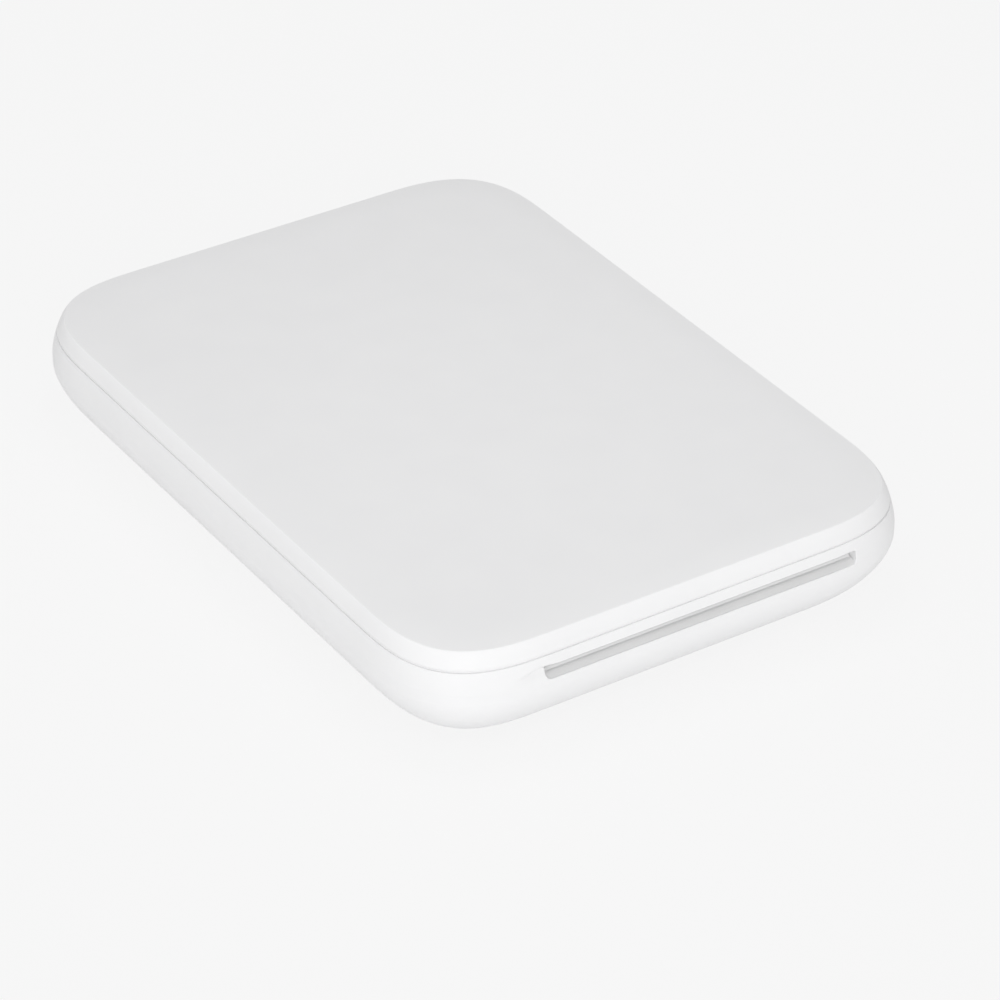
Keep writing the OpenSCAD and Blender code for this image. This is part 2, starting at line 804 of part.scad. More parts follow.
module paper_tray() color(inner_grey) {
    left = slot_x - bay_w / 2;
    right = slot_x + bay_w / 2;
    deck_rear = hinge_at[0] - barrel_r - 0.5;
    difference() {
        union() {
            intersection() {
                slab([[wall + 0.4, deck_z - deck_t], [wall + 0.4, deck_z]]);
                block([-body_w, tray_front, 0], [body_w, deck_rear, body_h]);
            }
            block([left - tray_wall, tray_front, tray_z], [right + tray_wall, bay_rear + tray_wall, deck_z]);
            block([left, lift_front, tray_z], [right, tray_front + eps, tray_floor_z]);
        }
        block([left, tray_front - 1, tray_floor_z], [right, bay_rear, body_h]);
        rod_x(lift_pivot, left - 2, bay_w + 4, lift_pin_r + running);
        for (at = deck_posts)
            translate([at[0], at[1], 0])
                cylinder(h = body_h, r = screw_r + 0.15);
    }
}

module lift_plate() color(inner_grey) {
    half = lift_w / 2;
    length = (lift_pivot[0] - lift_front) / cos(lift_tilt);
    translate([slot_x, lift_pivot[0], lift_pivot[1]])
        rotate([-lift_tilt, 0, 0])
            block([-half, -length, 0], [half, 1.5, lift_t]);
    rod_x(lift_pivot, slot_x - bay_w / 2 - tray_wall, bay_w + 2 * tray_wall, lift_pin_r);
}

module lift_springs() color(steel)
    for (s = [-1, 1])
        translate([slot_x + s * lift_spring_x, lift_spring_y, tray_floor_z + tight])
            coil(lift_spring_r, lift_wire_r, lift_spring_top - tray_floor_z, 2);

module separation_pad() color(rubber_black) {
    y = lift_front - 1;
    along_x(slot_x - 7.5, 15)
        polygon([
            [y - 3.2, path_z(y - 3.2) - 0.15], [y, path_z(y) - 0.15],
            [y, path_z(y) - guide_gap], [y - 3.2, path_z(y - 3.2) - guide_gap]
        ]);
}

module lower_guide() color(dark_plastic) {
    rear = lift_front - 0.6;
    low = platen_y + 4;
    difference() {
        along_x(left_x, plate_gap)
            polygon([
                [low, path_z(low) - guide_gap - guide_t], [rear, path_z(rear) - guide_gap - guide_t],
                [rear, path_z(rear) - guide_gap], [low, path_z(low) - guide_gap]
            ]);
        block([slot_x + 12, rear - 5, 0], [slot_x + 14, rear - 3, body_h]);
    }
}

module paper_sensor() color(dark_plastic) {
    y = lift_front - 5.7;
    top = path_z(y + 3.5) - guide_gap - guide_t;
    block([slot_x + 11, y, top - 1.5], [slot_x + 15, y + 3.5, top]);
}

module exit_guide() color(inner_grey) {
    left = slot_x - slot_w / 2;
    right = slot_x + slot_w / 2;
    low = front_y + wall + 0.1;
    high = platen_y - 5.3;
    difference() {
        intersection() {
            slab([[wall + 0.1, slot_z - 1], [wall + 0.1, deck_z - 0.6]]);
            block([left - 2.5, front_y, 0], [right + 2.5, high, body_h]);
        }
        along_x(left, slot_w)
            polygon([
                [low - 1, slot_z], [high + 1, slot_z - 0.7], [high + 1, slot_top + 0.5], [low - 1, slot_top]
            ]);
    }
    // The sloping lip that fills the lower part of the slot, under the paper
    lip_y = low + 0.4;
    along_x(left + 0.1, slot_w - 0.2)
        polygon([
            [front_y + recess_depth + 0.2, slot_z + tight], [lip_y, path_z(lip_y) - guide_gap],
            [high, slot_z - 0.5], [high, slot_z - 0.8], [lip_y, slot_z - 0.3], [low, slot_z + tight]
        ]);
}

// Mechanism frame

plate_front = platen_y - 5;

// A side plate's outline as [y, z], with its rear part clear of the main board
module plate_outline() {
    difference() {
        polygon([
            [plate_front, plate_foot_z + 3], [plate_front + 3, plate_foot_z],
            [main_board_y - 1, plate_foot_z], [main_board_y - 1, tray_z - 0.2],
            [mechanism_rear, tray_z - 0.2], [mechanism_rear, plate_top_z], [plate_front, plate_top_z]
        ]);
        translate(platen_at)
            circle(r = platen_shaft_r + running + bush_wall + tight);
        translate(pickup_at)
            circle(r = pickup_shaft_r + running + bush_wall + tight);
        translate(head_pivot)
            circle(r = head_pin_r + tight);
        for (at = bridge_screws)
            translate(at)
                circle(r = frame_screw_r + tight);
    }
}

module left_side_plate() color(steel)
    difference() {
        union() {
            along_x(left_out_x, plate_t)
                plate_outline();
            for (at = left_feet)
                left_foot(at);
        }
        rod_x(motor_at, left_out_x - 1, plate_t + 2, motor_shaft_r + 0.6);
        for (at = motor_ears)
            rod_x(at, left_out_x - 1, plate_t + 2, frame_screw_r + tight);
        for (at = [compound_at, idler_at])
            rod_x(at, left_out_x - 1, plate_t + 2, stud_r + tight);
        for (at = left_feet)
            translate([at[0], at[1], 0])
                cylinder(h = plate_foot_z + 2, r = frame_screw_r + 0.1);
    }

// A foot bent outwards, with a short leg up to the plate
module left_foot(at) {
    inner_x = left_out_x + plate_t;
    block([at[0] - 1.8, at[1] - 1.8, plate_foot_z], [inner_x, at[1] + 1.8, plate_foot_z + plate_t]);
    block([left_out_x, at[1] - 1.8, plate_foot_z], [inner_x, at[1] + 1.8, tray_z]);
}

module right_side_plate() color(steel)
    difference() {
        union() {
            along_x(right_x, plate_t)
                plate_outline();
            for (at = right_feet)
                block([at[0] - 1.8, at[1] - 1.8, plate_foot_z],
                      [right_out_x, at[1] + 1.8, plate_foot_z + plate_t]);
        }
        block([right_x - 1, head_pivot[0] + 1.6, head_pivot[1] - 0.5],
              [right_out_x + 1, head_pivot[0] + 5.6, head_pivot[1] + 0.5]);
        for (at = right_feet)
            translate([at[0], at[1], 0])
                cylinder(h = plate_foot_z + 2, r = frame_screw_r + 0.1);
    }

module top_bridge() color(dark_plastic) {
    difference() {
        union() {
            block([left_out_x, bridge_front, plate_top_z], [right_out_x, bridge_rear, bridge_z]);
            for (x = [left_x, right_x - bridge_t], at = bridge_screws)
                block([x, at[0] - 1.5, bridge_tab_z], [x + bridge_t, at[0] + 1.5, plate_top_z + eps]);
        }
        for (at = bridge_screws)
            rod_x(at, left_out_x - 1, plate_gap + 4, frame_screw_r + tight);
    }
}

// A frame screw along X, its head at x and on the side that out gives
module frame_screw_x(at, x, out, length) {
    rod_x(at, out > 0 ? x : x - frame_head_h, frame_head_h, frame_head_r);
    rod_x(at, out > 0 ? x - length : x - eps, length + eps, frame_screw_r);
}

module frame_screws() color(steel) {
    reach = plate_t + bridge_t + 0.3;
    for (at = bridge_screws) {
        frame_screw_x(at, left_out_x, -1, reach);
        frame_screw_x(at, right_out_x, 1, reach);
    }
    for (at = motor_ears)
        frame_screw_x(at, left_out_x, -1, reach);
    for (at = concat(left_feet, right_feet))
        translate([at[0], at[1], plate_foot_z + plate_t]) {
            cylinder(h = frame_head_h, r = frame_head_r);
            translate([0, 0, -reach])
                cylinder(h = reach + eps, r = frame_screw_r);
        }
}

module mechanism_hood() color(inner_grey) {
    inset = cover_rim + 0.3;
    low = hood_z - hood_t;
    difference() {
        intersection() {
            union() {
                slab([[inset, low], [inset, hood_z]]);
                difference() {
                    slab([[inset, deck_z - 0.4], [inset, hood_z]]);
                    slab([[inset + 0.8, 0], [inset + 0.8, low]]);
                }
                for (at = hood_posts)
                    translate([at[0], at[1], deck_z])
                        cylinder(h = hood_z - deck_z, r = screw_head_r + 0.7);
                for (s = [-1, 1])
                    translate([s * magnet_x, magnet_y, low - magnet_t])
                        cylinder(h = magnet_t + eps, r = magnet_r + 0.7);
            }
            block([-body_w, front_y, 0], [body_w, mechanism_rear - 0.3, body_h]);
        }
        for (s = [-1, 1])
            translate([s * magnet_x, magnet_y, low - magnet_t - 1])
                cylinder(h = magnet_t + 1, r = magnet_r + 0.05);
        for (at = hood_posts)
            translate([at[0], at[1], 0]) {
                cylinder(h = body_h, r = screw_r + 0.15);
                translate([0, 0, hood_z - screw_head_h - 0.05])
                    cylinder(h = 2, r = screw_head_r + 0.1);
            }
    }
}

// Feed rollers

module platen_shaft() color(steel) {
    low = inner_gears_x - gear_w + 0.05 - gear_gap / 2;
    rod_x(platen_at, low, right_out_x + bush_flange_t + 1.2 - low, platen_shaft_r);
}

module platen_rubber() color(rubber_black)
    difference() {
        rod_x(platen_at, slot_x - platen_l / 2, platen_l, platen_r);
        rod_x(platen_at, left_x, plate_gap, platen_shaft_r);
    }

module platen_gear() color(gear_white)
    gear(platen_at, inner_gears_x - gear_w, platen_teeth, platen_phase, platen_shaft_r);

module platen_clip() color(steel)
    clip(platen_at, right_out_x + bush_flange_t + 0.1, platen_shaft_r);

module platen_bushes() color(gear_white) {
    bush(platen_at, left_out_x, -1, platen_shaft_r);
    bush(platen_at, right_x, 1, platen_shaft_r);
}

module pickup_shaft() color(steel) {
    low = inner_gears_x - gear_w + 0.05 - gear_gap / 2;
    rod_x(pickup_at, low, right_out_x + bush_flange_t + 1.2 - low, pickup_shaft_r);
}

module pickup_tyres() color(rubber_black)
    for (s = [-1, 1])
        difference() {
            rod_x(pickup_at, slot_x + s * pickup_x - pickup_l / 2, pickup_l, pickup_r);
            rod_x(pickup_at, left_x, plate_gap, pickup_shaft_r);
        }

module pickup_gear() color(gear_white)
    gear(pickup_at, inner_gears_x - gear_w, pickup_teeth, pickup_phase, pickup_shaft_r);

module pickup_clip() color(steel)
    clip(pickup_at, right_out_x + bush_flange_t + 0.1, pickup_shaft_r);

module pickup_bushes() color(gear_white) {
    bush(pickup_at, left_out_x, -1, pickup_shaft_r);
    bush(pickup_at, right_x, 1, pickup_shaft_r);
}

// Drive

module motor_body() color(steel)
    difference() {
        union() {
            rod_x(motor_at, left_x, motor_l, motor_r);
            for (at = motor_ears)
                rod_x(at, left_x, 0.8, 1.5);
            block([left_x, motor_ears[0][0], motor_ears[0][1] - 1.5],
                  [left_x + 0.8, motor_ears[1][0], motor_ears[0][1] + 1.5]);
        }
        rod_x(motor_at, left_x - 1, motor_l - 1, motor_shaft_r + running);
        for (at = motor_ears)
            rod_x(at, left_x - 1, 3, frame_screw_r + tight);
    }

module motor_shaft() color(steel)
    rod_x(motor_at, outer_gears_x - gear_w - 0.2, left_x + motor_l - 3 - outer_gears_x, motor_shaft_r);

module motor_pinion() color(gold)
    gear(motor_at, outer_gears_x - gear_w, pinion_teeth, pinion_phase, motor_shaft_r);

module compound_gear() color(gear_white) {
    bore = stud_r + running;
    gear(compound_at, inner_gears_x - gear_w, small_teeth, small_phase, bore);
    gear(compound_at, outer_gears_x - gear_w, large_teeth, large_phase, bore);
    difference() {
        rod_x(compound_at, outer_gears_x - eps, gear_gap + 2 * eps, pitch_r(small_teeth) - 0.6);
        rod_x(compound_at, outer_gears_x - 1, gear_gap + 2, bore);
    }
}

module idler_gear() color(gear_white)
    gear(idler_at, inner_gears_x - gear_w, idler_teeth, idler_phase, stud_r + running);

// A stud with a shoulder against the plate and a length that reaches past its gear
module gear_stud(at, tip_x) {
    rod_x(at, tip_x, left_x - tip_x, stud_r);
    rod_x(at, inner_gears_x + 0.08, left_out_x - inner_gears_x - 0.08, stud_r + 0.6);
}

module gear_studs() color(steel) {
    gear_stud(compound_at, outer_gears_x - gear_w - 0.5);
    gear_stud(idler_at, inner_gears_x - gear_w - 0.5);
}

module stud_clips() color(steel) {
    clip(compound_at, outer_gears_x - gear_w - 0.1 - clip_t, stud_r);
    clip(idler_at, inner_gears_x - gear_w - 0.1 - clip_t, stud_r);
}

// Print head

module print_head() color(gear_white)
    block([slot_x - head_w / 2, head_y, head_z], [slot_x + head_w / 2, head_y + head_d, sink_z]);

module heat_sink() color(steel)
    difference() {
        block([slot_x - sink_w / 2, head_y, sink_z], [slot_x + sink_w / 2, head_y + sink_d, sink_z + sink_t]);
        rod_x(head_pivot, slot_x - sink_w / 2 - 1, 4.5, head_pin_r + running);
        rod_x(head_pivot, slot_x + sink_w / 2 - 3.5, 4.5, head_pin_r + running);
        for (s = [-1, 1])
            translate([slot_x + s * head_spring_x, head_spring_y, spring_seat_z])
                cylinder(h = sink_t, r = head_spring_r + head_wire_r + 0.15);
    }

module head_pivot_pins() color(steel) {
    reach = (plate_gap - sink_w) / 2 + plate_t + 3.2;
    rod_x(head_pivot, left_out_x, reach, head_pin_r);
    rod_x(head_pivot, right_out_x - reach, reach, head_pin_r);
}

module head_springs() color(steel)
    for (s = [-1, 1])
        translate([slot_x + s * head_spring_x, head_spring_y, spring_seat_z + tight])
            coil(head_spring_r, head_wire_r, plate_top_z - spring_seat_z - 2 * tight, 2);

flex_t = 0.15;

// From the head's right end through the plate, down, rearwards under the pickup shaft and down to the board
module head_flex() color(flex_amber) {
    tab_y = head_pivot[0] + 2;
    tab_z = head_pivot[1] - 0.1;
    flex_x = main_board_end - 1.6;
    run_z = pickup_at[1] - pickup_shaft_r - 0.6;
    socket_z = main_board_top + 1.2;
    block([slot_x + sink_w / 2 + 0.15, tab_y, tab_z], [flex_x + flex_t, tab_y + 3.2, tab_z + flex_t]);
    along_x(flex_x, flex_t)
        polygon([
            [tab_y, tab_z + flex_t], [tab_y + 3.2, tab_z + flex_t], [tab_y + 3.2, run_z],
            [main_board_y + 6.5, run_z], [main_board_y + 6.5, socket_z], [main_board_y + 1.5, socket_z],
            [main_board_y + 1.5, run_z - 3.5], [tab_y, run_z - 3.5]
        ]);
}

// Electronics

socket_block_h = 1.2;

module main_board() color(board_green)
    difference() {
        block([main_board_x, main_board_y, main_board_z],
              [main_board_end, main_board_y + main_board_l, main_board_top]);
        for (at = main_board_screws)
            translate([at[0], at[1], 0])
                cylinder(h = body_h, r = screw_r + 0.1);
    }

// A place across the main board, as a share of its width
function board_x(share) = main_board_x + share * main_board_w;

module board_chips() color(dark_plastic) {
    y = main_board_y;
    block([board_x(0.14), y + 8, main_board_top], [board_x(0.28), y + 16, main_board_top + 0.9]);
    block([board_x(0.34), y + 3, main_board_top], [board_x(0.44), y + 7, main_board_top + 0.8]);
    block([board_x(0.14), y + 19, main_board_top], [board_x(0.23), y + 23, main_board_top + 1]);
    block([board_x(0.78), y + 10, main_board_top], [board_x(0.85), y + 16, main_board_top + 0.8]);
}

module shield_can() color(steel)
    block([board_x(0.5), main_board_y + 8, main_board_top],
          [board_x(0.71), main_board_y + 19, main_board_top + 1.1]);

// Places of the sockets as [x, y, z, width, depth]
motor_socket = [left_x + 8.3, main_board_y, main_board_top, 6, 2.4];
link_socket = [main_board_x + 4, main_board_y + main_board_l - 2.5, main_board_top, 6, 2.4];
head_socket = [main_board_end - 3, main_board_y + 1, main_board_top, 2.7, 6];
battery_socket = [board_x(0.4), main_board_y + main_board_l - 3, main_board_top, 4, 2.8];
rear_socket = [main_board_x + 4, rear_board_front + 0.4, rear_board_z - socket_block_h, 6, 2.4];

module flex_sockets() color(gear_white)
    for (s = [motor_socket, link_socket, head_socket, battery_socket, rear_socket])
        block([s[0], s[1], s[2]], [s[0] + s[3], s[1] + s[4], s[2] + socket_block_h]);

module board_screws() color(steel) {
    for (at = main_board_screws)
        board_screw(at, main_board_top);
    for (at = rear_board_screws)
        board_screw(at, rear_board_top);
}

module board_screw(at, z) {
    translate([at[0], at[1], z]) {
        cylinder(h = screw_head_h, r = screw_head_r);
        translate([0, 0, -board_screw_l])
            cylinder(h = board_screw_l + eps, r = screw_r);
    }
}

module motor_ribbon() color(flex_amber) {
    z = main_board_top + socket_block_h / 2;
    drop = motor_at[1] - z;
    y = motor_at[0] + sqrt(pow(motor_r, 2) - pow(drop, 2)) + 0.08;
    block([motor_socket[0] + 0.5, y, z - flex_t / 2], [motor_socket[0] + 5.5, main_board_y, z + flex_t / 2]);
}

module rear_link_flex() color(flex_amber) {
    y = link_socket[1] + link_socket[4];
    z = main_board_top + socket_block_h / 2;
    under_z = battery_z + battery_t + 0.3;
    up_y = bay_rear + tray_wall + 0.3;
    up_z = rear_board_z - socket_block_h / 2;
    along_x(link_socket[0] + 0.5, 5)
        strip([[y, z], [battery_y - 2.5, z], [battery_y - 1, under_z], [up_y, under_z], [up_y, up_z],
               [rear_socket[1], up_z]], flex_t);
}

module battery_cell() color([0.75, 0.76, 0.78])
    block([battery_x, battery_y, battery_z],
          [battery_x + battery_w, battery_y + battery_l, battery_z + battery_t]);

module battery_pad() color(dark_plastic)
    block([battery_x + 3, battery_y + 3, floor_z],
          [battery_x + battery_w - 3, battery_y + battery_l - 3, battery_z]);

module battery_leads() {
    y = battery_socket[1] + battery_socket[4];
    for (i = [0, 1])
        color(i == 0 ? "firebrick" : "black")
            rod_y(battery_socket[0] + 1 + 2 * i, y, main_board_top + socket_block_h / 2, battery_y - y, 0.35);
}

module rear_board() color(board_green)
    difference() {
        block([-rear_board_w / 2, rear_board_front, rear_board_z],
              [rear_board_w / 2, rear_board_front + rear_board_l, rear_board_top]);
        for (at = rear_board_screws)
            translate([at[0], at[1], 0])
                cylinder(h = body_h, r = screw_r + 0.1);
    }

module charge_socket() color(steel) {
    mouth = rear_y - 0.7;
    shell = 0.3;
    back = mouth - socket_d;
    difference() {
        pill_y(0, back, port_z, socket_w, socket_h, socket_d);
        pill_y(0, back + 0.8, port_z, socket_w - 2 * shell, socket_h - 2 * shell, socket_d);
    }
    block([-3.35, back + 0.5, port_z - 0.35], [3.35, mouth - 0.9, port_z + 0.35]);
}

switch_w = 5;
switch_d = 2.6;
switch_y = rear_board_front + 2.3;

module power_switch() color(steel)
    difference() {
        block([button_x - switch_w / 2, switch_y, rear_board_top],
              [button_x + switch_w / 2, switch_y + switch_d, port_z + 1.2]);
        rod_y(button_x, switch_y + 1, port_z, switch_d, 0.8 + running);
    }

plunger_y = switch_y + 1 + button_travel + 0.1;
plunger_tip = switch_y + switch_d + 0.8;

module switch_plunger() color(dark_plastic)
    rod_y(button_x, plunger_y, port_z, plunger_tip - plunger_y, 0.8);

module power_button() color(shell_white) {
    face = rear_y - 0.15;
    flange = rear_y - wall - 0.4;
    pill_y(button_x, flange - 0.7, port_z, button_w, button_h, face - flange + 0.7);
    pill_y(button_x, flange - 0.8, port_z, button_w + 2, button_h + 0.7, 0.8);
    rod_y(button_x, plunger_tip, port_z, flange - plunger_tip, 1);
}

module light_pipe() color([0.9, 0.95, 0.9]) {
    low = rear_board_front + 5.5;
    rod_y(light_x, low, port_z, rear_y - 0.2 - low, light_r);
    rod_y(light_x, rear_y - wall - 0.9, port_z, 0.7, light_r + 0.5);
}

module status_led() color([0.9, 0.9, 0.7]) {
    low = rear_board_front + 4.2;
    block([light_x - 0.8, low, rear_board_top], [light_x + 0.8, low + 1.2, port_z + 0.6]);
}

lower_case();
rubber_feet();
case_screws();
hinge_pins();
case_magnets();
paper_tray();
mechanism_hood();
exit_guide();
left_side_plate();
right_side_plate();
lower_guide();
top_bridge();
frame_screws();
motor_body();
gear_studs();
stud_clips();
platen_bushes();
pickup_bushes();
separation_pad();
paper_sensor();
head_springs();
lift_springs();
head_flex();
motor_ribbon();
battery_cell();
battery_pad();
battery_leads();
main_board();
board_chips();
shield_can();
flex_sockets();
board_screws();
rear_board();
rear_link_flex();
charge_socket();
power_switch();
light_pipe();
status_led();
head_pivot_pins();
top_cover();
cover_liner();
cover_magnets();
platen_shaft();
platen_rubber();
platen_gear();
platen_clip();
pickup_shaft();
pickup_tyres();
pickup_gear();
pickup_clip();
compound_gear();
idler_gear();
motor_shaft();
motor_pinion();
print_head();
heat_sink();
lift_plate();
power_button();
switch_plunger();
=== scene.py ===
import math

import bmesh
import bpy
import numpy as np
from mathutils import Matrix


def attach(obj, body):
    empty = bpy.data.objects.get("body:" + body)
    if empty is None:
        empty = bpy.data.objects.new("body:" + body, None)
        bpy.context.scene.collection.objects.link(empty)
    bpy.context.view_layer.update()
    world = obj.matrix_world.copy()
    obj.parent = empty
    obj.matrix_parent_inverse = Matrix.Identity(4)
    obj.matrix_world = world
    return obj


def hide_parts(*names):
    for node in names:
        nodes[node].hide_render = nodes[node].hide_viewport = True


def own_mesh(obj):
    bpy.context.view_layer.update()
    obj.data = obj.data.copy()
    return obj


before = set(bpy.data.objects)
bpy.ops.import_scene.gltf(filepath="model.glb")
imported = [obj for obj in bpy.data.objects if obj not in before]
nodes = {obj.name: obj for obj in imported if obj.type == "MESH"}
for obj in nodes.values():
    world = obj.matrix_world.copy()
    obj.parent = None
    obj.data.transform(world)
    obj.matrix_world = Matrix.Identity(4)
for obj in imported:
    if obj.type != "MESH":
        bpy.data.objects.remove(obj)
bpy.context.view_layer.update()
mm = 0.001
print("frame loaded:", len(nodes), "nodes")

# Shapes are worked out in millimetres; meshOf turns them into metres

# The body's outline. In plan its corners are superellipses; upright, its edges draw in as
# superellipses too, soft above and much fuller below
bodyShape = {
    "halfWidth": 42.0,
    "halfLength": 58.5,
    "cornerReach": 20.426,
    "cornerPower": 3.01,
    "top": 19.0,
    "topInset": 1.887,
    "topHeight": 6.24,
    "topPower": 1.39,
    "crownReach": 7.0,
    "crownDrop": 0.4,
    "base": 0.3,
    "baseInset": 11.917,
    "baseHeight": 10.911,
    "basePower": 1.582,
}


def spread(path, step, turn):
    # Places along a dense path, closer where it bends: a point falls wherever its length
    # divided by step, plus its turning divided by turn, passes a whole number
    way = np.diff(path, axis=0)
    length = np.linalg.norm(way, axis=1)
    heading = np.unwrap(np.arctan2(way[:, 1], way[:, 0]))
    turning = np.abs(np.diff(heading, prepend=heading[0]))
    passed = np.concatenate([[0], np.cumsum(length / step + turning / turn)])
    count = max(2, int(math.ceil(passed[-1])) + 1)
    return np.interp(np.linspace(0, passed[-1], count), passed, np.arange(len(path)))


def pick(values, places):
    # Rows of an array at fractional places
    values = np.asarray(values, float)
    steps = np.arange(len(values))
    return np.stack([np.interp(places, steps, column) for column in values.T], -1)


def edgeCurve(inset, height, power, count=600):
    # A quarter of a superellipse from the full outline to the flat face, as (inset, rise):
    # inset = w (1 - cos(t) ^ (2 / p)), rise = h sin(t) ^ (2 / p)
    t = np.linspace(0, 1, count) ** 1.6 * math.pi / 2
    cosine, sine = np.cos(t).clip(0), np.sin(t)
    return np.stack([inset * (1 - cosine ** (2 / power)), height * sine ** (2 / power)], -1)


def topCurve(count=3000):
    # The upper edge from the full outline to the flat top, as (inset, z): the superellipse
    # of edgeCurve, less a crown that falls as the square of the way out from the flat top
    s = bodyShape
    edge = edgeCurve(s["topInset"], s["topHeight"] - s["crownDrop"], s["topPower"], count)
    edge[:, 1] += s["top"] - s["topHeight"] + s["crownDrop"]
    flat = np.linspace(s["topInset"], s["crownReach"], 60)[1:]
    curve = np.concatenate([edge, np.stack([flat, np.full_like(flat, s["top"])], -1)])
    curve[:, 1] -= s["crownDrop"] * (1 - curve[:, 0] / s["crownReach"]) ** 2
    return curve


upperEdge = topCurve()


def insetAt(z):
    # How far the outline has drawn in at a height, in the upper half
    return np.interp(z, upperEdge[:, 1], upperEdge[:, 0])


# A column of the plan is as wide as step, or turns by as many degrees as turn. The case's
# front has fine columns as far out as fineTo
columns = {"step": 3.2, "turn": 2.2, "fine": 0.55, "fineTo": 31.0}


def planColumns(fineFront=False):
    # The outline in plan as a centre and a direction for each column: a point with some
    # inset is centre + (reach - inset) * direction, where |dx| ^ p + |dy| ^ p = 1
    s = bodyShape
    a = s["halfWidth"] - s["cornerReach"]
    b = s["halfLength"] - s["cornerReach"]
    t = (1 - np.cos(np.linspace(0, math.pi, 900))) * math.pi / 4
    rising = np.sin(t) ** (2 / s["cornerPower"])
    falling = np.cos(t).clip(0) ** (2 / s["cornerPower"])
    along = np.linspace(0, 1, 500)[1:-1, None]
    corners = [
        ((a, -b), np.stack([rising, -falling], -1)),
        ((a, b), np.stack([falling, rising], -1)),
        ((-a, b), np.stack([-rising, falling], -1)),
        ((-a, -b), np.stack([-falling, -rising], -1)),
    ]
    centres, ways = [], []
    for i, (centre, way) in enumerate(corners):
        following = np.array(corners[(i + 1) % 4][0])
        centres += [np.tile(centre, (len(way), 1)), centre + (following - centre) * along]
        ways += [way, np.tile(way[-1], (len(along), 1))]
    centres, ways = np.concatenate(centres), np.concatenate(ways)
    outline = centres + s["cornerReach"] * ways
    fine = (outline[:, 1] < 0) & (np.abs(outline[:, 0]) < columns["fineTo"]) & fineFront
    stretch = np.where(fine, columns["step"] / columns["fine"], 1.0)[1:, None]
    stretched = np.concatenate([[[0, 0]], np.cumsum(np.diff(outline, axis=0) * stretch, axis=0)])
    places = spread(stretched, columns["step"], math.radians(columns["turn"]))[:-1]
    return pick(centres, places), pick(ways, places)


def round360(centres, ways, profile):
    # The profile, as (inset, z), carried round the plan: one row for each of its points
    profile = np.asarray(profile, float)
    reach = bodyShape["cornerReach"] - profile[:, 0]
    flat = centres[None] + reach[:, None, None] * ways[None]
    heights = np.broadcast_to(profile[:, 1][:, None, None], flat.shape[:2] + (1,))
    return np.concatenate([flat, heights], -1)


def arc(centre, radius, start, end, count):
    # Points (u, v) on a circle from one angle in degrees to another
    t = np.radians(np.linspace(start, end, count))
    return np.stack([centre[0] + radius * np.cos(t), centre[1] + radius * np.sin(t)], -1)


def gridFaces(rows, cols):
    # Quads between neighbouring rows and columns, the last column joined to the first
    r, c = np.meshgrid(np.arange(rows - 1), np.arange(cols), indexing="ij")
    following = (c + 1) % cols
    quads = [r * cols + c, r * cols + following, (r + 1) * cols + following, (r + 1) * cols + c]
    return np.stack(quads, -1).reshape(-1, 4)


def meshOf(name, grids, smooth=32):
    # One mesh of several closed surfaces, each a grid of points (rows, columns, xyz) whose
    # first and last rows are filled, with its faces turned outwards
    points, faces, start = [], [], 0
    for grid in grids:
        rows, cols = grid.shape[:2]
        points.append(grid.reshape(-1, 3))
        faces += (gridFaces(rows, cols) + start).tolist()
        faces.append((start + np.arange(cols)[::-1]).tolist())
        faces.append((start + (rows - 1) * cols + np.arange(cols)).tolist())
        start += rows * cols
    mesh = bpy.data.meshes.new(name)
    mesh.from_pydata(np.concatenate(points) * mm, [], faces)
    form = bmesh.new()
    form.from_mesh(mesh)
    bmesh.ops.recalc_face_normals(form, faces=form.faces)
    return pieceOf(form, mesh, smooth)


def pieceOf(form, mesh, smooth):
    # Writes the worked form back into its mesh and puts an object of the same name in the scene
    form.to_mesh(mesh)
    form.free()
    piece = bpy.data.objects.new(mesh.name, mesh)
    bpy.context.scene.collection.objects.link(piece)
    shadeSmooth(piece, smooth)
    return piece


def shadeSmooth(piece, angle):
    # Smooth shading, except at edges that turn by more than an angle
    piece.data.polygons.foreach_set("use_smooth", np.ones(len(piece.data.polygons), bool))
    piece.data.set_sharp_from_angle(angle=math.radians(angle))


def cut(piece, tool, operation="DIFFERENCE"):
    # Takes a tool's volume from a piece, or joins it to the piece, and removes the tool
    step = piece.modifiers.new("cut", "BOOLEAN")
    step.operation, step.solver, step.object = operation, "EXACT", tool
    bpy.context.view_layer.update()
    made = bpy.data.meshes.new_from_object(piece.evaluated_get(bpy.context.evaluated_depsgraph_get()))
    old = piece.data
    piece.modifiers.clear()
    piece.data = made
    made.name = old.name
    bpy.data.meshes.remove(old)
    bpy.data.objects.remove(tool, do_unlink=True)


def turned(centre, profile, axis="z", sides=48):
    # A profile (radius, height) turned about the Z or X direction through a centre (x, y, z)
    profile = np.asarray(profile, float)
    t = np.linspace(0, 2 * math.pi, sides, endpoint=False)
    u = profile[:, 0][:, None] * np.cos(t)
    v = profile[:, 0][:, None] * np.sin(t)
    w = np.broadcast_to(profile[:, 1][:, None], u.shape)
    order = {"z": (u, v, w), "x": (w, u, v)}[axis]
    return np.stack(order, -1) + np.asarray(centre, float)


def rodX(centre, x0, x1, radius, sides=48):
    # A round bar along X through (y, z)
    return turned((0, centre[0], centre[1]), [(radius, x0), (radius, x1)], "x", sides)


def barX(outline, x0, x1):
    # An outline (y, z) carried along X
    y, z = np.asarray(outline, float).T
    return np.array([np.stack([np.full_like(y, x), y, z], -1) for x in (x0, x1)])


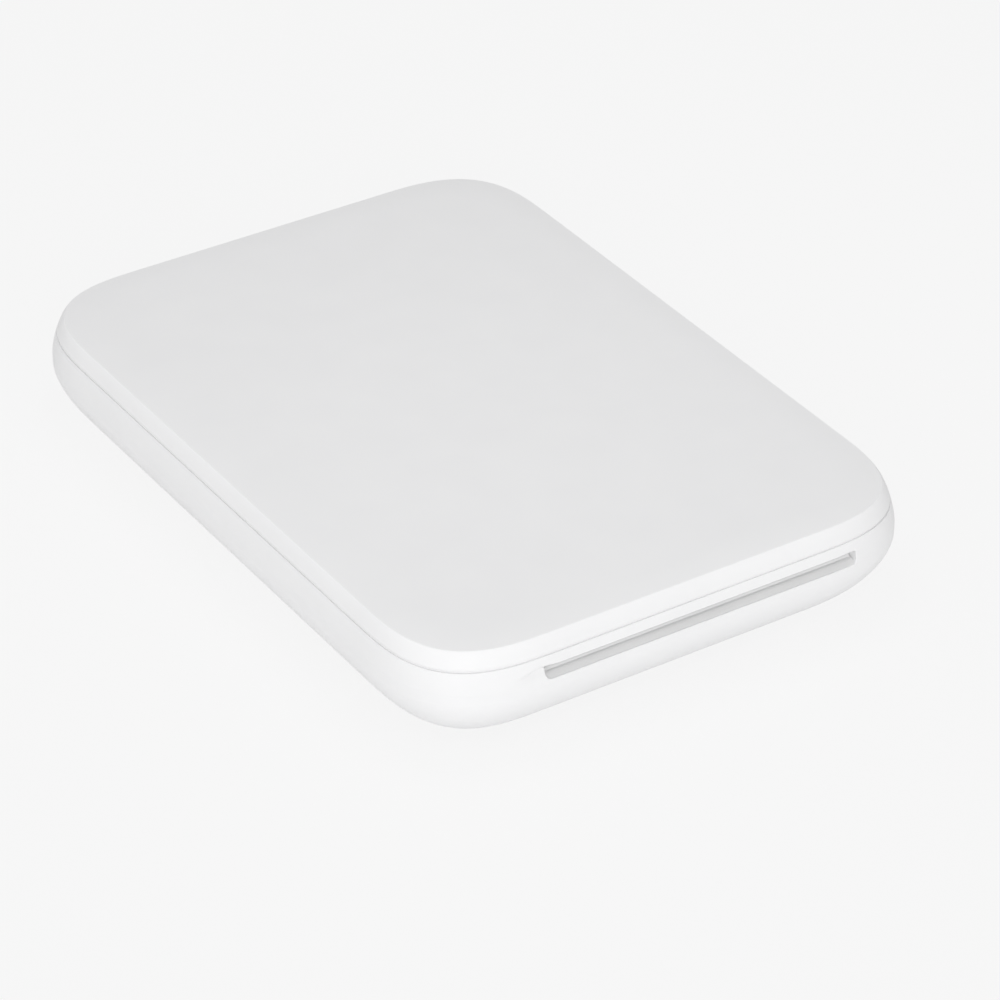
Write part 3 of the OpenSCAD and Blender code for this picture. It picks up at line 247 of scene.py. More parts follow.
# The paper slot and the scoop at its left end
slot = {
    "left": -23.85,
    "right": 28.15,
    "low": 12.38,
    "high": 14.5,
    "corner": 0.45,
    "lowLeftCorner": 0.9,
    "lip": 0.12,
    "deep": 3.4,
    "scoopDepth": 0.8,
    "scoopLength": 5.0,
    "scoopTaper": 0.75,
    "scoopEdge": 0.7,
    "scoopPast": 1.0,
    "scoopEnd": 0.6,
    "scoopFlank": 0.8,
}


def smoothStep(x):
    # x ^ 2 (3 - 2 x) between 0 and 1
    x = np.clip(x, 0, 1)
    return x * x * (3 - 2 * x)


def recessAt(x, z):
    # Depth of the scoop: it grows to the right along the ramp and upwards across it, up to a
    # short step; its two edges draw together to the left by the square of the way
    s = slot
    ramp = np.clip((x - s["left"] + s["scoopLength"]) / s["scoopLength"], 0, 1)
    along = smoothStep(1.15 * ramp) * smoothStep((s["left"] + s["scoopPast"] - x) / s["scoopEnd"])
    low = s["low"] + s["scoopTaper"] * (1 - ramp) ** 2
    high = s["high"] - 0.05 - s["scoopTaper"] * (1 - ramp) ** 2
    across = (z - low) / (high - low)
    flank = np.clip(across, 0, 1) ** s["scoopFlank"]
    step = smoothStep((high + s["scoopEdge"] / 2 - z) / s["scoopEdge"])
    return s["scoopDepth"] * along * flank * step


def frontAt(x, z, scooped=True):
    # Y of the front wall's outside, with the scoop or without: round a corner it goes back
    # as reach * (1 - share ^ p) ^ (1 / p), share being the way across the corner
    s = bodyShape
    a = s["halfWidth"] - s["cornerReach"]
    inset = insetAt(z)
    share = np.clip((np.abs(x) - a) / (s["cornerReach"] - inset), 0, 1) ** s["cornerPower"]
    reach = (s["cornerReach"] - inset) * (1 - share) ** (1 / s["cornerPower"])
    return -(s["halfLength"] - s["cornerReach"]) - reach + (recessAt(x, z) if scooped else 0)


def roundedLoop(x0, x1, z0, z1, radius, count=10, lowLeft=None):
    # A rounded rectangle (x, z) with its outward directions
    quarter = [(x1, z1, 0), (x0, z1, 90), (x0, z0, 180), (x1, z0, 270)]
    points, ways = [], []
    for x, z, start in quarter:
        r = lowLeft if lowLeft and start == 180 else radius
        inner = (x - math.copysign(r, x - (x0 + x1) / 2), z - math.copysign(r, z - (z0 + z1) / 2))
        t = np.radians(np.linspace(start, start + 90, count))
        ways.append(np.stack([np.cos(t), np.sin(t)], -1))
        points.append(np.array(inner) + r * ways[-1])
    points, ways = np.concatenate(points), np.concatenate(ways)
    return points, ways


def mouthTool(loop, ways, surface, lip, deep, inward):
    # A tool for an opening with a rounded lip: at depth t below the surface the loop is
    # wider by lip - sqrt(lip ^ 2 - (lip - t) ^ 2), and outside it keeps the full lip;
    # inward is the way into the body along Y, 1 or -1
    t = np.concatenate([[-1.5], lip * (1 - np.cos(np.radians(np.linspace(0, 90, 7)))), [deep]])
    under = np.clip(lip - t, 0, lip)
    wider = lip - np.sqrt(lip ** 2 - under ** 2)
    plan = loop[None] + wider[:, None, None] * ways[None]
    y = surface(plan[..., 0], plan[..., 1]) + inward * t[:, None]
    return np.stack([plan[..., 0], y, plan[..., 1]], -1)


def denser(loop, ways, longest=5.0, count=40):
    # More points along every edge over a length, so that a lip follows a curved wall there
    share = np.linspace(0, 1, count, endpoint=False)[:, None]
    points, outward = [], []
    for start, end, way in zip(loop, np.roll(loop, -1, 0), ways):
        places = share if np.hypot(*(end - start)) > longest else share[:1]
        points.append(places * (end - start) + start)
        outward.append(np.repeat(way[None], len(places), 0))
    return np.concatenate(points), np.concatenate(outward)


def slotTool():
    # The slot's rounded outline, sunk into the front wall as the scoop has left it
    s = slot
    loop, ways = roundedLoop(s["left"], s["right"], s["low"], s["high"], s["corner"],
                             lowLeft=s["lowLeftCorner"])
    return mouthTool(*denser(loop, ways), frontAt, s["lip"], s["deep"], 1)


# Pill-shaped openings in the rear wall, each (x, width, height)
rear = {
    "z": 11.5,
    "socket": (0.0, 9.34, 3.6),
    "button": (-14.028, 8.3, 2.7),
    "light": (12.012, 1.7, 1.7),
    "lip": 0.12,
    "deep": 3.2,
}


def rearAt(x, z):
    # Y of the rear wall's outside
    return np.full_like(x, bodyShape["halfLength"]) - insetAt(z)


def pill(x, z, width, height, count):
    # A rounded rectangle whose ends are half circles
    return roundedLoop(x - width / 2, x + width / 2, z - height / 2, z + height / 2,
                       height / 2 - 0.001, count)


def rearTool(which):
    # A pill-shaped opening in the rear wall
    x, width, height = rear[which]
    loop, ways = pill(x, rear["z"], width, height, 14)
    return mouthTool(loop, ways, rearAt, rear["lip"], rear["deep"], -1)


# The hinge: lugs on the case, and notches for them in the cover's rolled edge, on each side
hinge = {
    "axis": (57.0, 16.0),
    "barrel": 1.2,
    "room": 1.5,
    "start": 21.0,
    "end": 33.0,
    "lug": (20.3, 24.3),
    "notch": (20.0, 24.6),
    "caseBore": (19.3, 25.3, 0.52),
    "coverBore": (17.2, 20.5, 0.56),
}
lugWeb = [(55.9, 13.9), (57.8, 13.9), (57.9, 16.0), (55.9, 16.0)]
footPlaces = [(x, y, 0.0) for x in (-20.0, 20.0) for y in (-36.0, 36.0)]
footPocket = [(4.1, -1.0), (4.1, 0.8)]

# The case's rim with its tongue, and the hollow inside
caseRim = {
    "top": 16.02,
    "fillet": 0.1,
    "tongueOut": 0.88,
    "tongueIn": 2.0,
    "tongueTop": 16.2,
    "tongueRound": 0.06,
    "wall": 2.0,
    "hollowInset": 12.6,
    "hollowHeight": 9.3,
    "hollowTop": 11.1,
    "middle": 16.0,
    "scoopedBetween": (12.0, 15.3),
    "innerRows": 30,
}


def caseProfile():
    # From the middle of the underside out, up the outside, over the rim with its tongue and
    # down the inside, as (inset, z); low down, outside and inside follow edgeCurve
    s, r = bodyShape, caseRim
    base = edgeCurve(s["baseInset"], s["baseHeight"], s["basePower"])
    base = pick(base, spread(base, 1.4, math.radians(3.4)))[::-1]
    outside = np.stack([base[:, 0], s["base"] + s["baseHeight"] - base[:, 1]], -1)
    flat = [(r["middle"], s["base"]), (r["hollowInset"], s["base"])]
    heights = np.concatenate([np.linspace(slot["low"] - 0.15, 13.7, 16),
                              np.linspace(13.76, slot["high"] + 0.1, 15),
                              np.linspace(slot["high"] + 0.3, r["top"] - r["fillet"], 5)])
    upper = np.stack([insetAt(heights), heights], -1)
    shoulder = insetAt(r["top"] - r["fillet"]) + r["fillet"]
    fillet = arc((shoulder, r["top"] - r["fillet"]), r["fillet"], 180, 90, 6)[1:]
    f = r["tongueRound"]
    tongue = np.concatenate([
        [(r["tongueOut"] - 0.1, r["top"]), (r["tongueOut"], r["top"])],
        arc((r["tongueOut"] + f, r["tongueTop"] - f), f, 180, 90, 4),
        arc((r["tongueIn"] - f, r["tongueTop"] - f), f, 90, 0, 4),
    ])
    hollow = edgeCurve(r["hollowInset"], r["hollowHeight"], s["basePower"])
    hollow = pick(hollow, spread(hollow, 2.5, math.radians(9)))
    inside = np.stack([r["wall"] + hollow[:, 0], r["hollowTop"] - hollow[:, 1]], -1)
    return np.concatenate([flat, outside, upper, fillet, tongue, inside])


def buildCase():
    # The profile carried round the plan, with the scoop's depth added to the front wall
    grid = round360(*planColumns(fineFront=True), caseProfile())
    x, y, z = np.moveaxis(grid, -1, 0)
    low, high = caseRim["scoopedBetween"]
    outer = np.arange(len(grid))[:, None] < len(grid) - caseRim["innerRows"]
    front = outer & (y < -50) & (z > low) & (z < high)
    grid[..., 1] += np.where(front, recessAt(x, z), 0)
    shell = meshOf("case_shell", [grid])
    print("case shell:", len(shell.data.polygons), "faces")
    return shell


def bothSides(x0, x1, radius, sides=48):
    # Round bars on the hinge's axis, one on each side of the middle
    return [rodX(hinge["axis"], s * x0, s * x1, radius, sides) for s in (-1, 1)]


def cutCase(shell):
    # The trough for the cover's edge, the hinge lugs, and every opening
    h = hinge
    reach = h["end"] + 0.4
    webs = [barX(lugWeb, s * h["lug"][0], s * h["lug"][1]) for s in (-1, 1)]
    pockets = [turned(at, footPocket) for at in footPlaces]
    openings = [slotTool()] + [rearTool(which) for which in ("socket", "button", "light")]
    cut(shell, meshOf("trough", [rodX(h["axis"], -reach, reach, h["room"])]))
    cut(shell, meshOf("lug_webs", webs), "UNION")
    cut(shell, meshOf("lugs", bothSides(*h["lug"], h["barrel"])), "UNION")
    cut(shell, meshOf("case_tools", openings + pockets + bothSides(*h["caseBore"], 24)))
    shadeSmooth(shell, 32)
    print("case cut:", len(shell.data.polygons), "faces")


case = buildCase()
cutCase(case)


# The cover: a thin shell whose rolled rear edge turns in the case's trough
coverShape = {"low": 16.25, "fillet": 0.12, "rim": 2.2, "under": 17.7, "middle": 9.0, "innerMiddle": 6.0}


def coverProfile():
    # From the middle of the top out, down the rounded edge, under the rim and back inside, as
    # (inset, z)
    s, c = bodyShape, coverShape
    edge = upperEdge[upperEdge[:, 1] > c["low"] + c["fillet"]][::-1]
    edge = pick(edge, spread(edge, 0.7, math.radians(3)))
    flat = [(c["middle"], s["top"]), (c["middle"] - 1, s["top"])]
    shoulder = insetAt(c["low"] + c["fillet"]) + c["fillet"]
    fillet = arc((shoulder, c["low"] + c["fillet"]), c["fillet"], 180, 270, 7)[1:]
    rim = [(c["rim"] - 0.1, c["low"]), (c["rim"], c["low"] + 0.1), (c["rim"], c["under"])]
    inside = [(c["rim"] + 0.3, c["under"]), (c["innerMiddle"], c["under"])]
    return np.concatenate([flat, edge, fillet, rim, inside])


def rolledEdge():
    # The barrel along X; its rear side keeps just within the body's outline:
    # y = min(circle, outline - 0.02)
    h = hinge
    t = np.linspace(0, 2 * math.pi, 64, endpoint=False)
    out = np.linspace(h["start"], h["end"], 26)
    x = np.broadcast_to(np.concatenate([-out[::-1], out])[:, None], (2 * len(out), len(t)))
    z = np.broadcast_to(h["axis"][1] + h["barrel"] * np.sin(t), x.shape)
    y = np.minimum(h["axis"][0] + h["barrel"] * np.cos(t), -frontAt(x, z, False) - 0.02)
    return np.stack([x, y, z], -1)


def buildCover():
    # The shell with its rolled edge, which leaves room for the lugs and bores for the pins
    h = hinge
    shell = meshOf("cover_shell", [round360(*planColumns(), coverProfile())])
    cut(shell, meshOf("rolled_edge", [rolledEdge()]), "UNION")
    cut(shell, meshOf("cover_tools", bothSides(*h["notch"], h["room"])))
    cut(shell, meshOf("cover_bores", bothSides(*h["coverBore"], 24)))
    shadeSmooth(shell, 32)
    print("cover:", len(shell.data.polygons), "faces")
    return shell


cover = buildCover()


# Exit guide: two jaws that lead the paper out; the lower one's lip slopes down to the slot's
# edge. The outlines are (y, z)
guide = {"left": -27.5, "right": 30.5, "gap": 0.08}
cheek = [(-56.38, 11.62), (-50.8, 11.62), (-50.8, 15.4), (-56.38, 15.4)]
lowerJaw = [
    (-50.8, 11.62), (-50.8, 12.1), (-52.5, 12.72), (-54.2, 13.12), (-55.4, 13.28), (-56.2, 13.28),
    (-56.5, 13.22), (-56.7, 13.06), (-56.85, 12.88), (-57.0, 12.84), (-57.12, 12.86), (-57.25, 12.84),
    (-57.6, 12.68), (-58.0, 12.48), (-58.12, 12.43), (-58.15, 12.4), (-56.38, 12.4), (-56.38, 11.62),
]
upperJaw = [
    (-56.38, 13.96), (-56.3, 13.9), (-55.8, 13.88), (-54.0, 14.3), (-50.8, 15.1), (-50.8, 15.4),
    (-56.38, 15.4),
]


def buildExitGuide():
    # Both jaws span the slot, and a cheek closes each end
    g = guide
    left, right = slot["left"] + g["gap"], slot["right"] - g["gap"]
    jaws = [barX(lowerJaw, left, right), barX(upperJaw, left, right)]
    cheeks = [barX(cheek, g["left"], left), barX(cheek, right, g["right"])]
    return meshOf("exit_guide_jaws", jaws + cheeks)


exitGuide = buildExitGuide()

# Power button: a pill whose face is slightly domed, with the flange that keeps it in
button = {"width": 8.0, "height": 2.4, "face": 58.35, "round": 0.35, "dome": 0.12}
buttonFlange = [(-0.2, 55.3), (-0.5, 55.4), (-0.5, 56.0), (-0.4, 56.1), (0.0, 56.1)]


def buildButton():
    # The profile is (inset, y). The face falls from its middle to the rounded edge by
    # dome * (1 - share) ^ 2, share going from 0 at the edge to 1 in the middle
    b = button
    x, z, half = rear["button"][0], rear["z"], b["height"] / 2
    loop, ways = pill(x, z, b["width"], b["height"], 16)
    rounding = arc((b["round"], b["face"] - b["dome"] - b["round"]), b["round"], 180, 90, 7)
    inset = np.array([0.5, 0.7, 0.9, 1.05])
    share = (inset - b["round"]) / (half - b["round"])
    face = np.stack([inset, b["face"] - b["dome"] * (1 - share) ** 2], -1)
    profile = np.concatenate([buttonFlange, rounding, face])
    plan = loop[None] - profile[:, 0][:, None, None] * ways[None]
    y = np.broadcast_to(profile[:, 1][:, None], plan.shape[:2])
    return meshOf("power_button_cap", [np.stack([plan[..., 0], y, plan[..., 1]], -1)], smooth=28)


powerButton = buildButton()

# Rubber feet: a disc with a rounded lower edge and a shallow moulded ring
footShape = {"radius": 4.0, "thick": 0.8, "round": 0.25}


def footProfile():
    # From the middle of the top out, down the side, round the lower edge and over the ring
    f = footShape
    edge = arc((f["radius"] - f["round"], f["round"]), f["round"], 0, -90, 6)
    ring = [(3.1, 0.0), (2.95, 0.1), (2.7, 0.1), (2.55, 0.0), (0.6, 0.0)]
    return np.concatenate([[(0.6, f["thick"]), (f["radius"], f["thick"])], edge, ring])


feet = meshOf("feet", [turned(at, footProfile()) for at in footPlaces], smooth=40)

# Case screws: pan heads with a cross recess, and where they sit as (x, y, seat)
screw = {
    "height": 0.55,
    "fall": 0.45,
    "flat": 0.7,
    "shank": 0.8,
    "long": 4.5,
    "cross": 0.36,
    "arm": 0.2,
    "armTaper": 0.35,
    "armEnd": 0.92,
}
screwRings = [1.5, 1.48, 1.38, 1.2, 1.0, 0.92, 0.84, 0.76, 0.66, 0.56, 0.46, 0.36, 0.26, 0.16, 0.06]
screwPlaces = [(x, y, 16.0) for x in (-34, 34) for y in (4, 44)]
screwPlaces += [(x, y, 16.75) for x in (-36, 36) for y in (-46, -28)]


def screwAt(x, y, z):
    # The head's top is a function of radius and angle: a low dome that falls as the 1.5th
    # power of the way past its flat, less a cross whose arms grow narrower outwards
    s = screw
    t = np.linspace(0, 2 * math.pi, 96, endpoint=False)
    r, t = np.meshgrid(screwRings, t, indexing="ij")
    dome = s["height"] - s["fall"] * np.clip(r / screwRings[0] - s["flat"], 0, 1) ** 1.5
    across = np.minimum(np.abs(r * np.sin(t)), np.abs(r * np.cos(t)))
    arm = s["arm"] * (1 - s["armTaper"] * r)
    dip = smoothStep((arm - across) / 0.06) * smoothStep((s["armEnd"] - r) / 0.12)
    top = np.stack([r * np.cos(t), r * np.sin(t), dome - s["cross"] * dip], -1)
    shank = [(s["shank"], -s["long"]), (s["shank"], 0), (screwRings[0], 0)]
    under = turned((0, 0, 0), shank, sides=96)
    return np.concatenate([under, top]) + np.array([x, y, z])


screws = meshOf("cover_deck_screws", [screwAt(*at) for at in screwPlaces], smooth=35)
print("small pieces built")

# Mouldings and the cell, whose corners are rounded on a merged copy of the CAD mesh
softened = {
    "mechanism_hood": ("hood_moulding", "case", 0.35),
    "paper_tray": ("tray_moulding", "case", 0.3),
    "lift_plate": ("plate_moulding", "lift", 0.25),
    "cover_liner": ("liner_moulding", "cover", 0.15),
    "battery_cell": ("cell_pouch", "case", 0.6),
    "board_chips": ("chip_bodies", "case", 0.08),
    "shield_can": ("can_body", "case", 0.15),
    "power_switch": ("switch_body", "case", 0.12),
}


def mergedCopy(node, name):
    # A copy of a node's mesh whose corners are joined, with the form to work on
    mesh = nodes[node].data.copy()
    mesh.name = name
    form = bmesh.new()
    form.from_mesh(mesh)
    bmesh.ops.remove_doubles(form, verts=form.verts, dist=0.002 * mm)
    return form, mesh


def buildSoftened(node, name, width):
    # Edges that turn by more than 50 degrees get a round bevel of a width
    form, mesh = mergedCopy(node, name)
    bmesh.ops.dissolve_limit(form, angle_limit=math.radians(1), verts=form.verts, edges=form.edges)
    sharp = [e for e in form.edges if len(e.link_faces) == 2 and e.calc_face_angle(0) > math.radians(50)]
    bmesh.ops.bevel(form, geom=sharp, offset=width * mm, segments=3, profile=0.5, affect="EDGES",
                    clamp_overlap=True)
    piece = pieceOf(form, mesh, 60)
    # large flat faces keep their own direction, so that only the rounding is shaded round
    normals = piece.modifiers.new("normals", "WEIGHTED_NORMAL")
    normals.weight = 100
    normals.keep_sharp = True
    print(name, len(mesh.polygons), "faces")
    return piece


softPieces = {node: buildSoftened(node, name, width) for node, (name, body, width) in softened.items()}

# Springs: the height of the end that stays, the joint's limit in degrees and the Y of its pivot, from which
# the share of the coil's length left at that limit is worked out
springs = {
    "lift_springs": {"name": "lift_coils", "joint": "lift_pivot", "seat": 7.0, "limit": 2.0, "pivot": 38.0},
    "head_springs": {"name": "head_coils", "joint": "head_pivot", "seat": 16.1, "limit": 2.5, "pivot": -38.5},
}


def buildCoils(node, spring):
    # The coil, and the share of its length that is left at the joint's limit:
    # 1 - farthest reach * tan(limit) / length at rest
    piece = pieceOf(*mergedCopy(node, spring["name"]), 60)
    points = np.array([v.co for v in piece.data.vertices]) / mm
    length = np.abs(points[:, 2] - spring["seat"]).max()
    reach = np.abs(points[:, 1] - spring["pivot"]).max()
    keep = 1 - reach * math.tan(math.radians(spring["limit"])) / length
    print(piece.name, "length", round(float(length), 2), "share left", round(float(keep), 2))
    return piece, float(np.clip(keep, 0.05, 1))


coils = {node: buildCoils(node, spring) for node, spring in springs.items()}

# Finishes


def linear(value):
    # A display step of 0 to 255 as a linear value
    v = value / 255
    return v / 12.92 if v <= 0.04045 else ((v + 0.055) / 1.055) ** 2.4


def grey(value):
    # The grey that shows as a display step
    return (linear(value),) * 3


class Nodes:
    # Short hands for building one material's node tree
    def __init__(self, name):
        self.material = bpy.data.materials.new(name)
        self.material.use_nodes = True
        self.tree = self.material.node_tree
        self.shader = self.tree.nodes["Principled BSDF"]
        self.place = self.add("ShaderNodeTexCoord").outputs["Object"]

    def add(self, kind, **values):
        node = self.tree.nodes.new(kind)
        for key, value in values.items():
            setattr(node, key, value)
        return node

    def link(self, source, target):
        self.tree.links.new(source, target)

    def mapped(self, scale):
        node = self.add("ShaderNodeMapping")
        node.inputs["Scale"].default_value = scale
        self.link(self.place, node.inputs["Vector"])
        return node.outputs["Vector"]

    def noise(self, scale, detail, stretch):
        node = self.add("ShaderNodeTexNoise")
        node.inputs["Scale"].default_value = scale
        node.inputs["Detail"].default_value = detail
        self.link(self.mapped(stretch) if stretch else self.place, node.inputs["Vector"])
        return node.outputs["Fac"]

    def blend(self, factor, first, second):
        node = self.add("ShaderNodeMix", data_type="RGBA")
        self.link(factor, node.inputs["Factor"])
        node.inputs["A"].default_value = (*first, 1)
        node.inputs["B"].default_value = (*second, 1)
        return node.outputs["Result"]

    def ranged(self, source, low, high):
        # Most of a noise lies between 0.3 and 0.7
        node = self.add("ShaderNodeMapRange")
        self.link(source, node.inputs["Value"])
        ends = {"From Min": 0.3, "From Max": 0.7, "To Min": low, "To Max": high}
        for key, value in ends.items():
            node.inputs[key].default_value = value
        return node.outputs["Result"]

    def bump(self, source, depth):
        node = self.add("ShaderNodeBump")
        node.inputs["Strength"].default_value = 1.0
        node.inputs["Distance"].default_value = depth * mm
        self.link(source, node.inputs["Height"])
        self.link(node.outputs["Normal"], self.shader.inputs["Normal"])


def finish(name, colour, second, mottle, rough, grain, depth, metallic=0.0, stretch=None, **fixed):
    # A finish of two close colours in soft patches, roughness that follows a fine grain,
    # and the same grain as a shallow bump; patches, grain and bump have their sizes in mm
    n = Nodes(name)
    patches = n.noise(1000 / mottle, 2.0, stretch)
    n.link(n.blend(n.ranged(patches, 0, 1), colour, second), n.shader.inputs["Base Color"])
    fine = n.noise(1000 / grain, 4.0, stretch)
    n.link(n.ranged(fine, rough[0], rough[1]), n.shader.inputs["Roughness"])
    n.bump(fine, depth)
    n.shader.inputs["Metallic"].default_value = metallic
    for key, value in fixed.items():
        n.shader.inputs[key.replace("_", " ")].default_value = value
    return n.material


# Each has its two colours, size of the patches, roughness from and to, size of the grain and
# depth of the bump; then, where it needs them, the share of metal and the grain's stretch
shellWhite = finish("shell white", (0.88, 0.88, 0.885), (0.868, 0.868, 0.874), 9, (0.36, 0.44), 0.35, 0.0012)
guideGrey = finish("guide grey", grey(236), grey(233), 6, (0.42, 0.5), 0.22, 0.003)
innerGrey = finish("inner grey", grey(205), grey(202.5), 7, (0.48, 0.6), 0.22, 0.006)
darkPlastic = finish("dark plastic", grey(38), grey(30), 4, (0.42, 0.58), 0.2, 0.006)
rubberBlack = finish("rubber", grey(34), grey(26), 2.5, (0.72, 0.88), 0.12, 0.01)
pressedSteel = finish("pressed steel", (0.55, 0.56, 0.57), (0.49, 0.5, 0.52), 5, (0.28, 0.42), 0.3, 0.003,
                      1.0, (1, 8, 1))
turnedSteel = finish("turned steel", (0.6, 0.61, 0.62), (0.54, 0.55, 0.57), 3, (0.18, 0.32), 0.12, 0.002,
                     1.0, (12, 1, 1))
acetal = finish("acetal", (0.80, 0.78, 0.71), (0.76, 0.74, 0.67), 3, (0.32, 0.42), 0.2, 0.002)
brass = finish("brass", (0.76, 0.58, 0.26), (0.68, 0.5, 0.22), 2, (0.24, 0.36), 0.1, 0.001, 1.0, (8, 1, 1))
boardGreen = finish("board", (0.012, 0.13, 0.07), (0.02, 0.19, 0.1), 2.2, (0.3, 0.42), 0.5, 0.01)
flexAmber = finish("flex film", (0.42, 0.19, 0.03), (0.6, 0.31, 0.07), 1.5, (0.28, 0.38), 0.4, 0.003)
aluminium = finish("aluminium", (0.78, 0.79, 0.8), (0.72, 0.73, 0.75), 4, (0.3, 0.44), 0.2, 0.003,
                   1.0, (1, 6, 1))
ceramic = finish("ceramic", (0.78, 0.78, 0.76), (0.73, 0.73, 0.72), 3, (0.2, 0.3), 0.15, 0.001)
foilWrap = finish("cell wrap", (0.48, 0.49, 0.51), (0.42, 0.43, 0.45), 8, (0.3, 0.45), 1.2, 0.02, 0.85)
lightGuide = finish("light guide", (0.86, 0.9, 0.87), (0.82, 0.87, 0.84), 1, (0.1, 0.16), 0.1, 0.001,
                    Transmission_Weight=0.6)
chipCream = finish("lamp chip", (0.82, 0.8, 0.55), (0.74, 0.72, 0.46), 0.5, (0.3, 0.4), 0.1, 0.002)
leadRed = finish("lead", (0.4, 0.02, 0.02), (0.33, 0.015, 0.015), 2, (0.4, 0.5), 0.1, 0.002)


def coat(piece, material):
    # The same finish in every material slot of a piece
    for i in range(len(piece.data.materials)):
        piece.data.materials[i] = material


finishOf = {
    shellWhite: ["lower_case", "top_cover", "power_button"],
    innerGrey: ["paper_tray", "mechanism_hood", "exit_guide", "lift_plate", "cover_liner"],
    darkPlastic: ["lower_guide", "top_bridge", "paper_sensor", "battery_pad", "board_chips",
                  "switch_plunger"],
    rubberBlack: ["rubber_feet", "platen_rubber", "pickup_tyres", "separation_pad"],
    pressedSteel: ["left_side_plate", "right_side_plate", "shield_can", "charge_socket", "power_switch",
                   "motor_body", "case_magnets", "cover_magnets"],
    turnedSteel: ["platen_shaft", "pickup_shaft", "motor_shaft", "gear_studs", "stud_clips", "frame_screws",
                  "case_screws", "hinge_pins", "head_pivot_pins", "head_springs", "lift_springs",
                  "platen_clip", "pickup_clip", "board_screws"],
    acetal: ["platen_gear", "pickup_gear", "compound_gear", "idler_gear", "platen_bushes", "pickup_bushes",
             "flex_sockets"],
    brass: ["motor_pinion"],
    boardGreen: ["main_board", "rear_board"],
    flexAmber: ["head_flex", "motor_ribbon", "rear_link_flex"],
    aluminium: ["heat_sink"],
    ceramic: ["print_head"],
    foilWrap: ["battery_cell"],
    lightGuide: ["light_pipe"],
    chipCream: ["status_led"],
    leadRed: ["battery_leads"],
}
for material, names in finishOf.items():
    for name in names:
        coat(nodes[name], material)
print("nodes without a finish:", sorted(set(nodes) - {n for names in finishOf.values() for n in names}))

# New pieces: the body that carries each, the node that it stands for, and its finish
newPieces = (
    (case, "case", "lower_case", shellWhite),
    (cover, "cover", "top_cover", shellWhite),
    (powerButton, "button", "power_button", shellWhite),
    (feet, "case", "rubber_feet", rubberBlack),
    (screws, "case", "case_screws", turnedSteel),
    (exitGuide, "case", "exit_guide", guideGrey),
)
for piece, body, node, material in newPieces:
    piece.data.materials.clear()
    piece.data.materials.append(material)
    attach(piece, body)
    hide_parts(node)
for node, piece in softPieces.items():
    name, body, width = softened[node]
    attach(piece, body)
    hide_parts(node)
    coat(piece, nodes[node].data.materials[0])
for node, (piece, keep) in coils.items():
    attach(piece, "case")
    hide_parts(node)
    coat(piece, turnedSteel)
    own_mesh(piece)
print("pieces placed")

# Floor, light and camera
studio = {
    "floorHalf": 3.0,
    "floorColour": 0.9,
    "background": 0.93,
    "floorLit": 0.79,
    "shadowSeen": 0.09,
    "shadowInGloss": 0.6,
    "sky": 0.92,
    "skyTilt": (-0.19, -0.14, 0.0),
    "skyDim": 0.45,
    "key": {"level": 0.255, "size": 0.5, "away": 0.9, "aim": (0.0, 0.0, 0.01), "turn": 26.0, "rise": 15.0},
    "fill": {"level": 0.227, "size": 0.12, "away": 0.21, "aim": (-0.021, -0.03, 0.019), "turn": 0.0,
             "rise": 90.0},
}


def seenDirectly(tree, path):
    # 1 for rays that come straight from the camera, off a gloss or through glass
    total = None
    for output in ("Is Camera Ray", "Is Glossy Ray", "Is Transmission Ray"):
        if total is None:
            total = path.outputs[output]
            continue
        joined = tree.nodes.new("ShaderNodeMath")
        joined.operation = "MAXIMUM"
        tree.links.new(total, joined.inputs[0])
        tree.links.new(path.outputs[output], joined.inputs[1])
        total = joined.outputs[0]
    return total


def buildFloor():
    # To the camera and in a gloss the floor glows at the background's level, less the shadow
    # on it; to every other ray it is a plain pale surface
    mesh = bpy.data.meshes.new("floor")
    half = studio["floorHalf"]
    mesh.from_pydata([(-half, -half, 0), (half, -half, 0), (half, half, 0), (-half, half, 0)],
                     [], [(0, 1, 2, 3)])
    floor = bpy.data.objects.new("floor", mesh)
    bpy.context.scene.collection.objects.link(floor)
    material = bpy.data.materials.new("pale floor")
    material.use_nodes = True
    tree = material.node_tree
    plain = tree.nodes["Principled BSDF"]
    pale = studio["floorColour"]
    plain.inputs["Base Color"].default_value = (pale, pale, pale, 1)
    plain.inputs["Roughness"].default_value = 0.9
    plain.inputs["Specular IOR Level"].default_value = 0.0
    glow = tree.nodes.new("ShaderNodeEmission")
    level = (studio["background"] - studio["shadowSeen"] * studio["floorLit"]) / (1 - studio["shadowSeen"])
    glow.inputs["Color"].default_value = (level, level, level, 1)
    path = tree.nodes.new("ShaderNodeLightPath")
    share = tree.nodes.new("ShaderNodeMapRange")
    share.inputs["To Min"].default_value = studio["shadowSeen"]
    share.inputs["To Max"].default_value = studio["shadowInGloss"]
    tree.links.new(path.outputs["Is Glossy Ray"], share.inputs["Value"])
    shaded = tree.nodes.new("ShaderNodeMixShader")
    tree.links.new(share.outputs["Result"], shaded.inputs["Fac"])
    tree.links.new(glow.outputs[0], shaded.inputs[1])
    tree.links.new(plain.outputs[0], shaded.inputs[2])
    whole = tree.nodes.new("ShaderNodeMixShader")
    tree.links.new(seenDirectly(tree, path), whole.inputs["Fac"])
    tree.links.new(plain.outputs[0], whole.inputs[1])
    tree.links.new(shaded.outputs[0], whole.inputs[2])
    tree.links.new(whole.outputs[0], tree.nodes["Material Output"].inputs["Surface"])
    mesh.materials.append(material)


